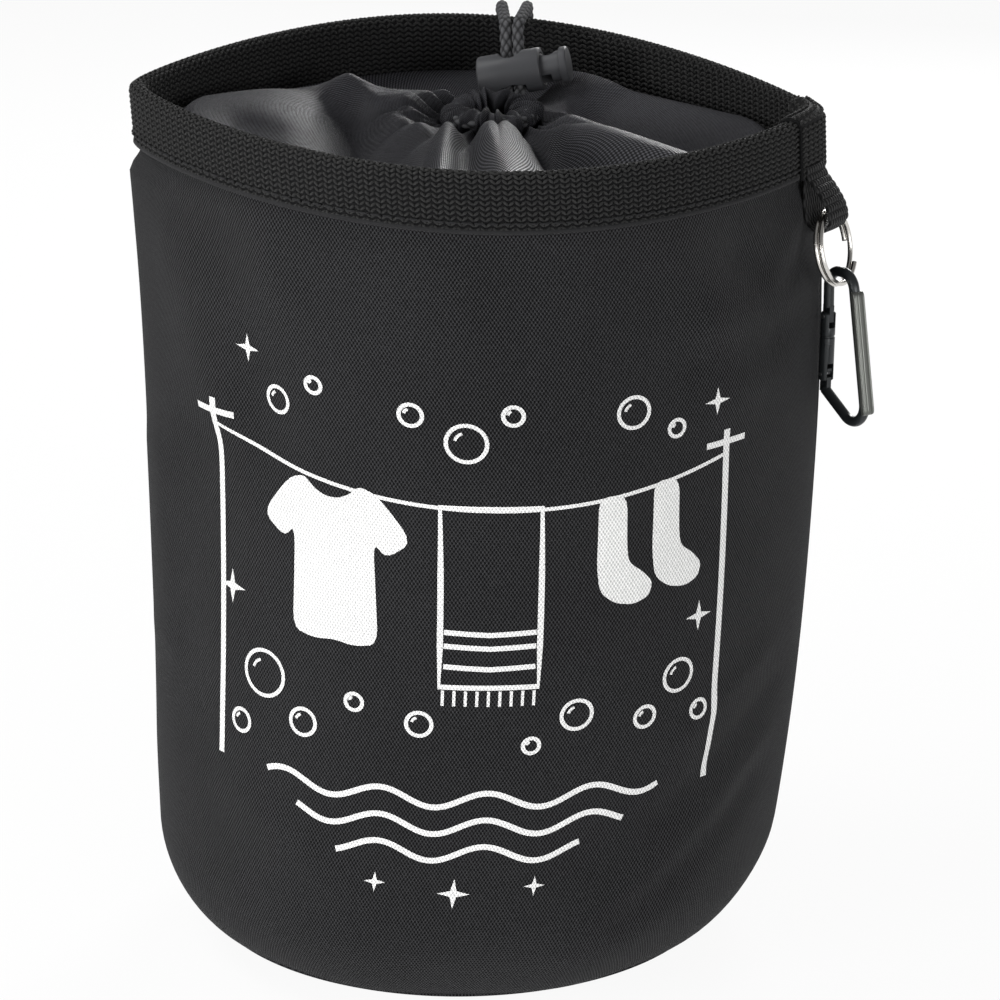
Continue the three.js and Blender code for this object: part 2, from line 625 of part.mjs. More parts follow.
const loopCentre = -(TAB_LENGTH - TAB_WEBBING - TAB_LOOP_RADIUS);
function tabOutline(loopRadius, top, topHalfWidth, shoulder) {
  const outline = new THREE.Shape();
  outline.moveTo(-topHalfWidth, top);
  outline.lineTo(-loopRadius, shoulder);
  outline.lineTo(-loopRadius, loopCentre);
  outline.absarc(0, loopCentre, loopRadius, Math.PI, 2 * Math.PI);
  outline.lineTo(loopRadius, shoulder);
  outline.lineTo(topHalfWidth, top);
  outline.closePath();
  return outline;
}
const loopTop = loopCentre - TAB_LOOP_RADIUS + TAB_LOOP_HEIGHT;
const loopShoulder = loopTop - TAB_LOOP_RADIUS;
const tabShape = tabOutline(TAB_LOOP_RADIUS + TAB_WEBBING, -TAB_START, TAB_WEBBING, loopShoulder);
tabShape.holes.push(tabOutline(TAB_LOOP_RADIUS, loopTop, CLEARANCE, loopShoulder));
const tabGeometry = new THREE.ExtrudeGeometry(tabShape, {
  depth: TAB_WIDTH,
  bevelEnabled: false,
  curveSegments: HOLE_SIDES / 2,
});
tabGeometry.translate(0, 0, -TAB_WIDTH / 2).rotateX(Math.PI / 2);
addPiece("hanging_tab", tabGeometry, WEBBING_BLACK, hanger).rotation.y = -TAB_LEAN;

// Split ring: two turns of wire, hanging in the tab's loop
const outAndDown = (lean, length) => new THREE.Vector3(Math.sin(lean) * length, 0, -Math.cos(lean) * length);
const loopFloor = outAndDown(TAB_LEAN, TAB_LENGTH - TAB_WEBBING);
const ringInner = RING_RADIUS - RING_WIRE / 2;
const ringHalfWidth = (RING_PITCH + RING_WIRE) / 2;
const loopSag = TAB_LOOP_RADIUS - Math.sqrt(TAB_LOOP_RADIUS ** 2 - ringHalfWidth ** 2);
const ringDrop = Math.sqrt(ringInner ** 2 - (TAB_WIDTH / 2) ** 2) - loopSag - CLEARANCE;
const ringCentre = loopFloor.clone().add(outAndDown(RING_LEAN, ringDrop));
const ringGeometry = coil("split_ring", RING_RADIUS, RING_WIRE, RING_TURNS, RING_PITCH, 6, 24);
const loopTurn = PAIR_TURN - RING_TURNS / 2;
ringGeometry.rotateZ(RING_START).rotateY(Math.PI / 2).translate(-RING_PITCH * loopTurn, 0, 0);
const ring = addPiece("split_ring", ringGeometry, NICKEL, hanger);
ring.position.copy(ringCentre);
ring.rotation.y = -RING_LEAN;

// Clip: a bent rod closed by a sprung gate. Local X points to its spine, and Z up from where the ring bears.
const clip = new THREE.Group();
const clipTurn = CLIP_AZIMUTH - tabAzimuth;
const bendInside = CLIP_TOP_BEND - ROD_RADIUS;
const ringAcrossRod = ringHalfWidth / Math.abs(Math.cos(clipTurn));
const bendSag = bendInside - Math.sqrt(bendInside ** 2 - ringAcrossRod ** 2);
clip.position.copy(ringCentre).add(outAndDown(RING_LEAN, ringInner - CLEARANCE - bendSag));
clip.position.x += RING_PITCH / 2;
clip.rotation.set(0, -CLIP_LEAN, clipTurn, "ZYX");
hanger.add(clip);

// A path of straight runs with rounded corners in the clip's plane
function bentPath(corners, bends) {
  const path = new THREE.CurvePath();
  const at = (point) => new THREE.Vector3(point.x, 0, point.y);
  let from = corners[0];
  corners.slice(1, -1).forEach((corner, i) => {
    const before = corner.clone().sub(corners[i]).normalize();
    const after = corners[i + 2].clone().sub(corner).normalize();
    const turn = Math.acos(before.dot(after));
    const setback = bends[i] * Math.tan(turn / 2);
    const start = corner.clone().addScaledVector(before, -setback);
    const end = corner.clone().addScaledVector(after, setback);
    const centre = corner
      .clone()
      .addScaledVector(after.clone().sub(before).normalize(), bends[i] / Math.cos(turn / 2));
    const first = start.clone().sub(centre);
    const sweep = Math.sign(before.cross(after)) * turn;
    path.add(new THREE.LineCurve3(at(from), at(start)));
    path.add(curveOf((t) => at(first.clone().rotateAround(new THREE.Vector2(), sweep * t).add(centre))));
    from = end;
  });
  path.add(new THREE.LineCurve3(at(from), at(corners.at(-1))));
  return path;
}
const spineTop = new THREE.Vector2(CLIP_TOP_HALF_WIDTH, ROD_RADIUS);
const spineFoot = new THREE.Vector2(CLIP_SPINE_OUT, -CLIP_SPINE_DROP);
const rodPath = bentPath(
  [GATE_TOP, new THREE.Vector2(-CLIP_TOP_HALF_WIDTH, ROD_RADIUS), spineTop, spineFoot, GATE_FOOT],
  [CLIP_TOP_BEND, CLIP_TOP_BEND, CLIP_FOOT_BEND],
);
const rodPoints = rodPath.curves.flatMap((curve, i) => curve.getPoints(i % 2 ? 8 : 1).slice(i ? 1 : 0));
const rodCurve = curveOf((t) => {
  const place = t * (rodPoints.length - 1);
  const index = Math.min(Math.floor(place), rodPoints.length - 2);
  return rodPoints[index].clone().lerp(rodPoints[index + 1], place - index);
});
rodCurve.getPointAt = rodCurve.getPoint;
rodCurve.getTangentAt = (t) => rodCurve.getTangent(t);
const rod = tube(rodCurve, circle(ROD_RADIUS, ROD_SIDES), rodPoints.length - 1);

// The spine's flat outer face
const spineRun = spineFoot.clone().sub(spineTop);
const spineAngle = Math.atan2(spineRun.x, -spineRun.y);
const plateEnd = spineRun.length() - CLIP_FOOT_BEND;
const spinePlate = block(
  SPINE_PLATE_IN,
  SPINE_PLATE_OUT,
  -SPINE_PLATE_WIDTH / 2,
  SPINE_PLATE_WIDTH / 2,
  -plateEnd,
  -SPINE_PLATE_START,
);
spinePlate.rotateY(-spineAngle).translate(spineTop.x, 0, spineTop.y);

// The gate's own frame: origin at the pivot, Z up along the gate, X to the spine
const gateRun = GATE_FOOT.clone().sub(GATE_TOP);
const gateSpan = gateRun.length();
const gateAngle = Math.atan2(gateRun.x, -gateRun.y);
const pivot = GATE_TOP.clone().addScaledVector(gateRun, GATE_PIVOT_INSET / gateSpan);
const latchDrop = gateSpan - GATE_PIVOT_INSET - GATE_LATCH_INSET;
const ontoClip = (geometry) => geometry.rotateY(-gateAngle).translate(pivot.x, 0, pivot.y);

const thick = TONGUE_HALF_THICKNESS;
const hingeTongue = cut(
  join(
    block(-TONGUE_HALF_WIDTH, TONGUE_HALF_WIDTH, -thick, thick, 0, GATE_PIVOT_INSET + ROD_END_GRIP),
    bar("y", TONGUE_END, -thick, thick, HOLE_SIDES),
  ),
  bar("y", PIVOT_RADIUS + CLEARANCE, -2 * thick, 2 * thick, PIN_SIDES),
);
const latchGap = LATCH_RADIUS + CLEARANCE;
const nose = cut(
  block(
    -TONGUE_HALF_WIDTH,
    TONGUE_HALF_WIDTH,
    -thick,
    thick,
    -latchDrop - GATE_LATCH_INSET - ROD_END_GRIP,
    -latchDrop + TONGUE_END,
  ),
  block(
    -latchGap, 2 * TONGUE_HALF_WIDTH, -2 * thick, 2 * thick, -latchDrop - latchGap, -latchDrop + latchGap,
  ),
);
addPiece("clip_body", join(rod, spinePlate, ontoClip(hingeTongue), ontoClip(nose)), CLIP_BLACK, clip);

const slot = thick + CLEARANCE;
const wide = 2 * GATE_RADIUS;
const gateSpringTop = -SLOT_DEPTH - CLEARANCE - GATE_SPRING_WIRE / 2;
const gateSpringBore = GATE_SPRING_RADIUS + GATE_SPRING_WIRE / 2 + CLEARANCE;
const gate = cut(
  bar("z", GATE_RADIUS, -latchDrop - GATE_LATCH_END, GATE_PIVOT_END, GATE_SIDES),
  block(-wide, wide, -slot, slot, -SLOT_DEPTH, wide),
  block(-wide, wide, -slot, slot, -latchDrop - wide, -latchDrop + SLOT_DEPTH),
  bar("z", gateSpringBore, gateSpringTop - GATE_SPRING_LENGTH - 2 * CLEARANCE, -SLOT_DEPTH / 2, PIN_SIDES),
  bar("y", PIVOT_RADIUS + CLEARANCE, -wide, wide, PIN_SIDES),
  bar("y", LATCH_RADIUS + CLEARANCE, -wide, wide, PIN_SIDES).translate(0, 0, -latchDrop),
);
addPiece("clip_gate", ontoClip(gate), CLIP_BLACK, clip);
const rivet = bar("y", PIVOT_RADIUS, -GATE_RADIUS, GATE_RADIUS, PIN_SIDES);
addPiece("gate_rivet", ontoClip(rivet), SPRING_STEEL, clip);
const latchPin = bar("y", LATCH_RADIUS, -GATE_RADIUS, GATE_RADIUS, PIN_SIDES).translate(0, 0, -latchDrop);
addPiece("gate_latch_pin", ontoClip(latchPin), SPRING_STEEL, clip);
const gateSpring = coil(
  "gate_spring",
  GATE_SPRING_RADIUS,
  GATE_SPRING_WIRE,
  GATE_SPRING_TURNS,
  (GATE_SPRING_LENGTH - GATE_SPRING_WIRE) / GATE_SPRING_TURNS,
  5,
  8,
);
gateSpring.translate(0, 0, gateSpringTop - GATE_SPRING_LENGTH / 2);
addPiece("gate_spring", ontoClip(gateSpring), SPRING_STEEL, clip);

export default bag;
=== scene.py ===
# %% [markdown]
# # A drawstring bag for clothes pegs
# The real bag is a tube of coarse black cloth on a round base. Thick knitted webbing binds its mouth, a thin
# liner closes it with a drawcord, and a clip hangs from a ring at the side seam. The CAD parts are a fixed
# frame in metres, so every piece below is built straight into its own place, with no fitting afterwards.

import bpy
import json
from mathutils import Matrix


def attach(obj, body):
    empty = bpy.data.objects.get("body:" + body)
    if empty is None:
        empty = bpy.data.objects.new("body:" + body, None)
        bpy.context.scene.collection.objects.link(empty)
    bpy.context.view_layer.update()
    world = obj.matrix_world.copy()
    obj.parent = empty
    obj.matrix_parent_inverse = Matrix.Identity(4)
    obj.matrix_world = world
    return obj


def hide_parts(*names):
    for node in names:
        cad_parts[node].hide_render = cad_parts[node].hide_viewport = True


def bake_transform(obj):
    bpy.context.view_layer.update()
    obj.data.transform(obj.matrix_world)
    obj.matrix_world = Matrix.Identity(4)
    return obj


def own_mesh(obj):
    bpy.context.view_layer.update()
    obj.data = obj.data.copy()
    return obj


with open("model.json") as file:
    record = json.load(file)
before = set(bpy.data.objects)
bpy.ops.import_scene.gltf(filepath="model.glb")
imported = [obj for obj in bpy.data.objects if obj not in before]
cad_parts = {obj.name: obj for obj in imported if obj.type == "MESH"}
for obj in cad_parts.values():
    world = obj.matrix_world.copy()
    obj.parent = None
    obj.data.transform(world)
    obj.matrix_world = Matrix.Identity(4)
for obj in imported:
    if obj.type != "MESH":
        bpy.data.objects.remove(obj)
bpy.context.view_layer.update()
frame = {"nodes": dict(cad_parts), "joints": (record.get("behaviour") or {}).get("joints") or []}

# %% Modules and units
import contextlib
import json
import math

import bmesh
import bpy
import numpy as np
from mathutils import Matrix, Vector

MM = 0.001
DEGREE = math.pi / 180
UP = Vector((0, 0, 1))
scene = bpy.context.scene
joints = {joint["name"]: joint for joint in frame["joints"]}

# %% [markdown]
# ## Camera
# The photograph was taken from a metre away, a little above the mouth. A long lens keeps the sides nearly
# parallel. The angles come from a camera that was fitted to the outline of the bag.

# %% Camera
CAMERA_PLACE = Vector((0, -1000, 443.4)) * MM
CAMERA_PITCH = 0.3028  # radians below level
CAMERA_YAW = 0.0126  # radians towards +X
FOCAL_PIXELS = 3513.6
IMAGE_WIDTH = 1000
SENSOR_WIDTH = 36.0

lens = bpy.data.cameras.new("camera")
lens.sensor_width = SENSOR_WIDTH
lens.lens = FOCAL_PIXELS * SENSOR_WIDTH / IMAGE_WIDTH
camera = bpy.data.objects.new("camera", lens)
camera.location = CAMERA_PLACE
camera.rotation_euler = (math.pi / 2 - CAMERA_PITCH, 0, -CAMERA_YAW)
scene.collection.objects.link(camera)
scene.camera = camera
scene.view_settings.view_transform = "Standard"
print("lens", round(lens.lens, 1), "mm")

# %% [markdown]
# ## Node helpers
# Materials and Geometry Nodes are both trees of nodes. One short helper adds a node, sets what is plain and
# links what comes from another node, so the cells below read like recipes. The others are patterns that
# several finishes share.

# %% Node helpers
def feed(tree, target, feeds):
    """Gives a node's inputs, by name or number, a plain value or another node's output."""
    for key, value in feeds.items():
        if isinstance(value, bpy.types.NodeSocket):
            tree.links.new(value, target.inputs[key])
        else:
            target.inputs[key].default_value = value


def node(tree, kind, feeds=None, **settings):
    """Adds a node with its settings and feeds."""
    made = tree.nodes.new(kind)
    for name, value in settings.items():
        setattr(made, name, value)
    feed(tree, made, feeds or {})
    return made


def maths(tree, operation, first, second=0.0):
    """One step of arithmetic in a node tree."""
    return node(tree, "ShaderNodeMath", {0: first, 1: second}, operation=operation).outputs[0]


print("node helpers ready")

# %% Finish helpers
def finish(name, colour, roughness, metallic=0.0, specular=0.5):
    """A new material with its plain values set on the shader, ready for a pattern."""
    material = bpy.data.materials.new(name)
    material.use_nodes = True
    tree = material.node_tree
    shader = tree.nodes["Principled BSDF"]
    feed(tree, shader, {"Base Color": (*colour, 1), "Roughness": roughness})
    feed(tree, shader, {"Metallic": metallic, "Specular IOR Level": specular})
    return material, tree, shader


def noise(tree, scale, detail):
    """Uneven values by place on the object, with a scale in lumps per metre."""
    place = node(tree, "ShaderNodeTexCoord").outputs["Object"]
    return node(tree, "ShaderNodeTexNoise", {"Vector": place, "Scale": scale, "Detail": detail}).outputs[0]


def two_tone(tree, shader, share, low, high):
    """Mixes the base colour of two tones."""
    tones = {0: share, 6: (*low, 1), 7: (*high, 1)}
    feed(tree, shader, {"Base Color": node(tree, "ShaderNodeMix", tones, data_type="RGBA").outputs[2]})


def bumped(tree, shader, height, strength, depth):
    """Raises the surface where the height is large, by a depth in metres."""
    bump = node(tree, "ShaderNodeBump", {"Height": height, "Strength": strength, "Distance": depth})
    feed(tree, shader, {"Normal": bump.outputs[0]})


print("finish helpers ready")

# %% [markdown]
# ## Floor and light
# The background is white. The floor is a pale sheet that shines by itself for the camera and in mirrors,
# which keeps it white without more light on the bag. It still takes the soft shadow, and a small share of
# its glow reaches the bag from below. The world is a white backdrop that ends low down, under a dim ceiling.
# Four large lamps give soft light: from the left, where the photograph's left fold is brightest, from the
# front, from above, and from behind, which picks out the crests of the liner.

# %% Floor
FLOOR_HALF_WIDTH = 6.0
FLOOR_GLOW = 0.93
FLOOR_BOUNCE = 0.16  # the share of the glow that lights the bag from below

floor_mesh = bpy.data.meshes.new("floor")
corners = [(x * FLOOR_HALF_WIDTH, y * FLOOR_HALF_WIDTH, 0) for x, y in ((-1, -1), (1, -1), (1, 1), (-1, 1))]
floor_mesh.from_pydata(corners, [], [(0, 1, 2, 3)])
floor = bpy.data.objects.new("floor", floor_mesh)
scene.collection.objects.link(floor)
paper, tree, shader = finish("pale_paper", (0.9, 0.9, 0.9), roughness=0.9, specular=0.1)
ray = node(tree, "ShaderNodeLightPath")
seen = maths(tree, "MAXIMUM", ray.outputs["Is Camera Ray"], ray.outputs["Is Glossy Ray"])
share = maths(tree, "MULTIPLY", maths(tree, "MAXIMUM", seen, FLOOR_BOUNCE), FLOOR_GLOW)
glow = node(tree, "ShaderNodeEmission", {"Color": (1, 1, 1, 1), "Strength": 1.0})
mix = node(tree, "ShaderNodeMixShader", {0: share, 1: shader.outputs[0], 2: glow.outputs[0]})
feed(tree, tree.nodes["Material Output"], {"Surface": mix.outputs[0]})
floor_mesh.materials.append(paper)
print("floor", 2 * FLOOR_HALF_WIDTH, "m wide")

# %% World and lamps
WORLD_LIGHT = 0.24
SWEEP = (0.1, 0.26)  # the white backdrop ends between these heights, and a dim ceiling begins
BAG_AIM = (0, 0, 0.12)
FOOT_AIM = (0, 0, 0.08)
LINER_AIM = (-0.02, 0.02, 0.24)

world = bpy.data.worlds.new("studio")
world.use_nodes = True
scene.world = world
tree = world.node_tree
ray = node(tree, "ShaderNodeLightPath")
place = node(tree, "ShaderNodeTexCoord").outputs["Object"]
height = node(tree, "ShaderNodeSeparateXYZ", {0: place}).outputs[2]
sweep = node(tree, "ShaderNodeMapRange", {0: height, 1: SWEEP[0], 2: SWEEP[1], 3: 1.0, 4: 0.0}).outputs[0]
mirrored = maths(tree, "MULTIPLY", ray.outputs["Is Glossy Ray"], sweep)
seen = maths(tree, "MAXIMUM", ray.outputs["Is Camera Ray"], mirrored)
strength = maths(tree, "ADD", maths(tree, "MULTIPLY", seen, 1 - WORLD_LIGHT), WORLD_LIGHT)
feed(tree, tree.nodes["Background"], {"Color": (1, 1, 1, 1), "Strength": strength})


def lamp(name, place, aim, width, watts):
    """A square soft lamp that faces a point of the bag."""
    light = bpy.data.lights.new(name, "AREA")
    light.size = width
    light.energy = watts
    lamp_object = bpy.data.objects.new(name, light)
    lamp_object.location = place
    lamp_object.rotation_euler = (Vector(aim) - Vector(place)).to_track_quat("-Z", "Y").to_euler()
    scene.collection.objects.link(lamp_object)


lamp("key_lamp", (-1.25, -0.95, 0.33), BAG_AIM, width=0.7, watts=19)
lamp("fill_lamp", (0.8, -1.3, 0.12), FOOT_AIM, width=1.0, watts=19)
lamp("top_lamp", (-0.8, 0.2, 1.3), LINER_AIM, width=0.6, watts=9)
lamp("back_lamp", (0.4, 1.35, 0.7), LINER_AIM, width=0.5, watts=13)

# %% [markdown]
# ## Sheets and tubes
# Nearly everything here is either a sheet or a tube, which are both grids of points. One helper turns a grid
# into a piece with a map called cloth, in metres along and across the cloth, so that a weave keeps its real
# size. The other helpers draw smooth routes and rings of points along them.

# %% Grid helpers
@contextlib.contextmanager
def edited(mesh):
    """Opens a mesh for editing, and puts the result back."""
    work = bmesh.new()
    work.from_mesh(mesh)
    yield work
    work.to_mesh(mesh)
    work.free()


def close_holes(mesh):
    """Caps open ends and turns every face outwards."""
    with edited(mesh) as work:
        bmesh.ops.holes_fill(work, edges=[edge for edge in work.edges if edge.is_boundary])
        bmesh.ops.recalc_face_normals(work, faces=work.faces)


def crossed(rows, columns):
    """Two lists of values as full grids: one changes down the rows, the other along the columns."""
    return np.broadcast_arrays(np.asarray(rows)[:, None], np.asarray(columns)[None, :])


def new_piece(name, mesh):
    """An object at the origin that shows a mesh."""
    piece = bpy.data.objects.new(name, mesh)
    scene.collection.objects.link(piece)
    return piece


def grid_piece(name, points, cloth, around=False, capped=False):
    """A piece over rows and columns of points. Around joins the last column to the first."""
    rows, columns = points.shape[:2]
    row, column = crossed(np.arange(rows - 1), np.arange(columns - 1 + around))
    corners = ((row, column), (row, column + 1), (row + 1, column + 1), (row + 1, column))
    faces = np.stack([r * columns + c % columns for r, c in corners], -1).reshape(-1, 4)
    mesh = bpy.data.meshes.new(name)
    mesh.from_pydata(points.reshape(-1, 3).tolist(), [], faces.tolist())
    places = np.stack([cloth[r, c] for r, c in corners], -2)
    mesh.uv_layers.new(name="cloth").data.foreach_set("uv", places.reshape(-1))
    if capped:
        close_holes(mesh)
    mesh.shade_smooth()
    return new_piece(name, mesh)


def dress(piece, material, body, slot, *nodes):
    """Gives a piece its finish, the body that it rides on and the CAD nodes that it stands for."""
    if material:
        piece.data.materials.clear()
        piece.data.materials.append(material)
    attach(piece, body)
    if nodes:
        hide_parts(*nodes)
    print(piece.name, len(piece.data.polygons), "faces on", body)
    return piece


print("grid helpers ready")

# %% Number helpers
def full_turn(steps, closed=True):
    """Angles round a full turn. A closed one ends where it starts."""
    return np.linspace(0, math.tau, steps + closed, endpoint=closed)


def wrapped(angle):
    """The same angle, between minus half a turn and half a turn."""
    return (angle + math.pi) % math.tau - math.pi


def ease(value, start, end):
    """A smooth step from 0 at the start to 1 at the end."""
    share = np.clip((value - start) / (end - start), 0, 1)
    return share * share * (3 - 2 * share)


def bell(value, width):
    """One at zero, and next to nothing at twice the width."""
    return np.exp(-((value / width) ** 2))


def unit(vectors):
    """The same directions, each of length one."""
    return vectors / np.linalg.norm(vectors, axis=-1, keepdims=True)


def lengths_along(path):
    """Distance along a path to each of its points."""
    return np.concatenate([[0.0], np.cumsum(np.linalg.norm(np.diff(path, axis=0), axis=1))])


print("number helpers ready")

# %% Route helpers
FIRST_SIDE = (0.3, 0.2, 0.9)  # a direction that no route here starts in
ROUTE_STEPS = 40


def smooth_route(points, step):
    """Evenly spaced points on a smooth curve through the given ones."""
    p = np.array(points, float)
    p = np.vstack([2 * p[0] - p[1], p, 2 * p[-1] - p[-2]])
    share = np.linspace(0, 1, ROUTE_STEPS, endpoint=False)[:, None]
    drawn = []
    for a, b, c, d in zip(p, p[1:], p[2:], p[3:]):
        before, here, after = (math.sqrt(np.linalg.norm(v)) for v in (b - a, c - b, d - c))
        start = here * ((b - a) / before - (c - a) / (before + here) + (c - b) / here)
        end = here * ((c - b) / here - (d - b) / (here + after) + (d - c) / after)
        bend = (2 * b - 2 * c + start + end) * share**3
        drawn.append(bend + (3 * c - 3 * b - 2 * start - end) * share**2 + start * share + b)
    path = np.vstack([*drawn, p[-2:-1]])
    along = lengths_along(path)
    even = np.linspace(0, along[-1], max(2, round(along[-1] / step)) + 1)
    return np.stack([np.interp(even, along, path[:, axis]) for axis in range(3)], -1)


def tube_grid(path, radius, sides, relief=None, first=FIRST_SIDE):
    """Rings of points round a path, and their cloth map. Relief adds height by turn and distance."""
    ahead = unit(np.gradient(path, axis=0))
    side = np.empty_like(path)
    last = np.array(first, float)
    for i, way in enumerate(ahead):
        last = last - np.dot(last, way) * way
        last /= np.linalg.norm(last)
        side[i] = last
    other = np.cross(ahead, side)
    turn = full_turn(sides)[None, :]
    along = lengths_along(path)[:, None]
    reach = np.full((len(path), sides), radius)
    if relief:
        reach += relief(turn[:, :-1], along)
    cosine, sine = (wave(turn[:, :-1])[..., None] for wave in (np.cos, np.sin))
    ring = cosine * side[:, None] + sine * other[:, None]
    cloth = np.stack(np.broadcast_arrays(radius * turn, along), -1)
    return path[:, None] + reach[..., None] * ring, cloth


def tube_piece(name, path, radius, sides, first=FIRST_SIDE):
    """A smooth tube with closed ends."""
    points, cloth = tube_grid(path, radius, sides, first=first)
    return grid_piece(name, points, cloth, around=True, capped=True)


print("route helpers ready")

# %% [markdown]
# ## Cords
# The drawcord is a soft knitted cord. Both ends leave the gathered hem, pass through the cord lock and hang
# over the back of the rim, where a knot holds them together. A curve with a round bevel would be smooth, and
# the photograph shows chunky strands, so the cords are mesh tubes whose radius follows a plait.

# %% Cord finish
CORD_GREY = (0.11, 0.112, 0.118)
# The groove tone is painted shade in the plait's grooves, and the strand tone is the yarn's own grey
GROOVE_SHADE_AND_STRAND_TONES = ((0.012, 0.012, 0.013, 1), (0.105, 0.106, 0.112, 1))  # in a groove and on a strand
GROOVE_END = 0.2
FUZZ_SHARE = 0.55


def cord_finish():
    """Grey yarn, with painted shade in the grooves between the strands."""
    material, tree, shader = finish("grey_cord", CORD_GREY, roughness=0.9, specular=0.25)
    fuzz = noise(tree, scale=2600.0, detail=3.0)
    groove = node(tree, "ShaderNodeAttribute", attribute_name="strand").outputs["Fac"]
    shade = node(tree, "ShaderNodeValToRGB", {0: groove})
    for element, tone in zip(shade.color_ramp.elements, GROOVE_SHADE_AND_STRAND_TONES):
        element.color = tone
    shade.color_ramp.elements[0].position = GROOVE_END
    tones = {0: FUZZ_SHARE, 6: shade.outputs[0], 7: fuzz}
    mixed = node(tree, "ShaderNodeMix", tones, data_type="RGBA", blend_type="OVERLAY")
    feed(tree, shader, {"Base Color": mixed.outputs[2]})
    bumped(tree, shader, fuzz, strength=0.6, depth=0.0002)
    return material


GREY_CORD = cord_finish()
print(GREY_CORD.name)

# %% Cord helper
CORD_DIAMETER = 3.6 * MM
CORD_STEP = 0.3 * MM
CORD_SIDES = 30
STRANDS_ROUND = 2
STRAND_LENGTH = 4.4 * MM
STRAND_DEPTH = 0.55 * MM
STRAND_LEVEL = 0.72  # the height of a strand that lies at the cord's own radius


def strands(turn, along):
    """Height of a plait of strands, from 0 in a groove to 1 on a strand."""
    lean = math.pi * along / STRAND_LENGTH
    crossing = np.cos(STRANDS_ROUND * turn + lean) * np.cos(STRANDS_ROUND * turn - lean)
    return np.sqrt(np.abs(crossing))


def strand_relief(turn, along):
    """How far the strands stand out of the plain cord."""
    return STRAND_DEPTH * (strands(turn, along) - STRAND_LEVEL)


def plaited_cord(name, route):
    """A mesh tube with plaited strands along a route."""
    points, cloth = tube_grid(route, CORD_DIAMETER / 2, CORD_SIDES, strand_relief)
    piece = grid_piece(name, points, cloth, around=True)
    height = strands(full_turn(CORD_SIDES, closed=False)[None], lengths_along(route)[:, None])
    piece.data.attributes.new("strand", "FLOAT", "POINT").data.foreach_set("value", height.ravel())
    close_holes(piece.data)
    return piece


print("cord", CORD_DIAMETER, "m thick")

# %% Routes of the two tails
TAIL_LEFT = [
    (14.15, 59.88, 238.5), (14.65, 61.4, 238.5), (15.3, 63.3, 239.2), (15.8, 65.3, 240.75),
    (16, 67.7, 243.2), (15.86, 70.32, 246.24), (15.7, 73.6, 250), (15.5, 76.9, 253.8),
    (15.41, 79.54, 256.77), (15.35, 82.3, 258.8), (15.3, 85.6, 259.6), (15.1, 91, 260.2),
    (14.9, 97, 260.6), (14.7, 103, 261.2), (14.6, 107, 261.2), (14.5, 110.8, 260.1),
    (14.5, 113.5, 257.6), (14.4, 114.9, 254.3), (14.4, 115.2, 250.5), (14.4, 115.2, 245),
    (14.4, 115.2, 220), (14.4, 115.2, 195), (14.4, 115.2, 170), (14.4, 115.2, 145), (14.5, 115.2, 120),
    (14.5, 115.2, 103),
]
TAIL_RIGHT = [
    (17.76, 58.7, 238.5), (18.3, 60.4, 238.55), (19, 62.4, 239.4), (19.5, 64.5, 241.1),
    (19.67, 67.05, 243.95), (19.54, 69.68, 246.96), (19.38, 72.97, 250.72), (19.22, 76.27, 254.48),
    (19.09, 78.9, 257.49), (19.3, 81.7, 259.5), (19.8, 85, 260.3), (20.6, 91, 260.7), (21.4, 97, 260.9),
    (22.1, 103, 261.1), (22.5, 107, 261), (22.7, 110.8, 259.9), (22.8, 113.5, 257.4),
    (22.8, 114.9, 254.1), (22.8, 115.2, 250.3), (22.7, 115.2, 245), (22.2, 115.2, 220),
    (21.3, 115.2, 195), (20.2, 115.2, 170), (19.2, 115.2, 145), (18.5, 115.2, 120), (18.3, 115.2, 103),
]
tails = {}
for side, points in (("left", TAIL_LEFT), ("right", TAIL_RIGHT)):
    route = smooth_route(np.array(points) * MM, CORD_STEP)
    tail = plaited_cord("tail_" + side, route)
    dress(tail, GREY_CORD, "bag", "cord", "cord_tail_" + side)
    tails[side] = (tail, route)
    print("tail", side, round(lengths_along(route)[-1], 4), "m")

# %% Knot at the far end
KNOT_RADIUS = 3.78 * MM
KNOT_DEPTH = 0.45
KNOT_DROP = 5.3 * MM
CUT_TOP = np.array([1.9, 0, -3]) * MM  # where each cut end leaves the knot, from its middle
CUT_FOOT = np.array([3.4, 0, -13.6]) * MM

tail_ends = np.stack([route[-1] for _, route in tails.values()])
knot_middle = tail_ends.mean(axis=0) - np.array([0, 0, KNOT_DROP])
turn = full_turn(159)
sideways = (np.sin(turn) + 2 * np.sin(2 * turn)) / 3
upwards = (np.cos(turn) - 2 * np.cos(2 * turn)) / 3
lobes = np.stack([sideways, -KNOT_DEPTH * np.sin(3 * turn), upwards], -1)
knot = plaited_cord("tail_knot", smooth_route(knot_middle + KNOT_RADIUS * lobes, CORD_STEP))
cut_ends = []
for side in (-1, 1):
    top, foot = (knot_middle + place * (side, 1, 1) for place in (CUT_TOP, CUT_FOOT))
    cut_ends.append(plaited_cord("cut_end", smooth_route([top, (top + foot) / 2, foot], CORD_STEP)))
with bpy.context.temp_override(active_object=knot, selected_editable_objects=[knot, *cut_ends]):
    bpy.ops.object.join()
dress(knot, GREY_CORD, "bag", "cord", "cord_knot")

print("two tails end in one knot")

# %% [markdown]
# ## Shape of the bag
# The bag is a round tube whose mouth is pinched at both side seams, and which leans and bows a little. One
# rule moves any point of a plain round bag to the real one. The wall, the binding, the stitches, the liner's
# edge and the print all use it, so that they stay together.

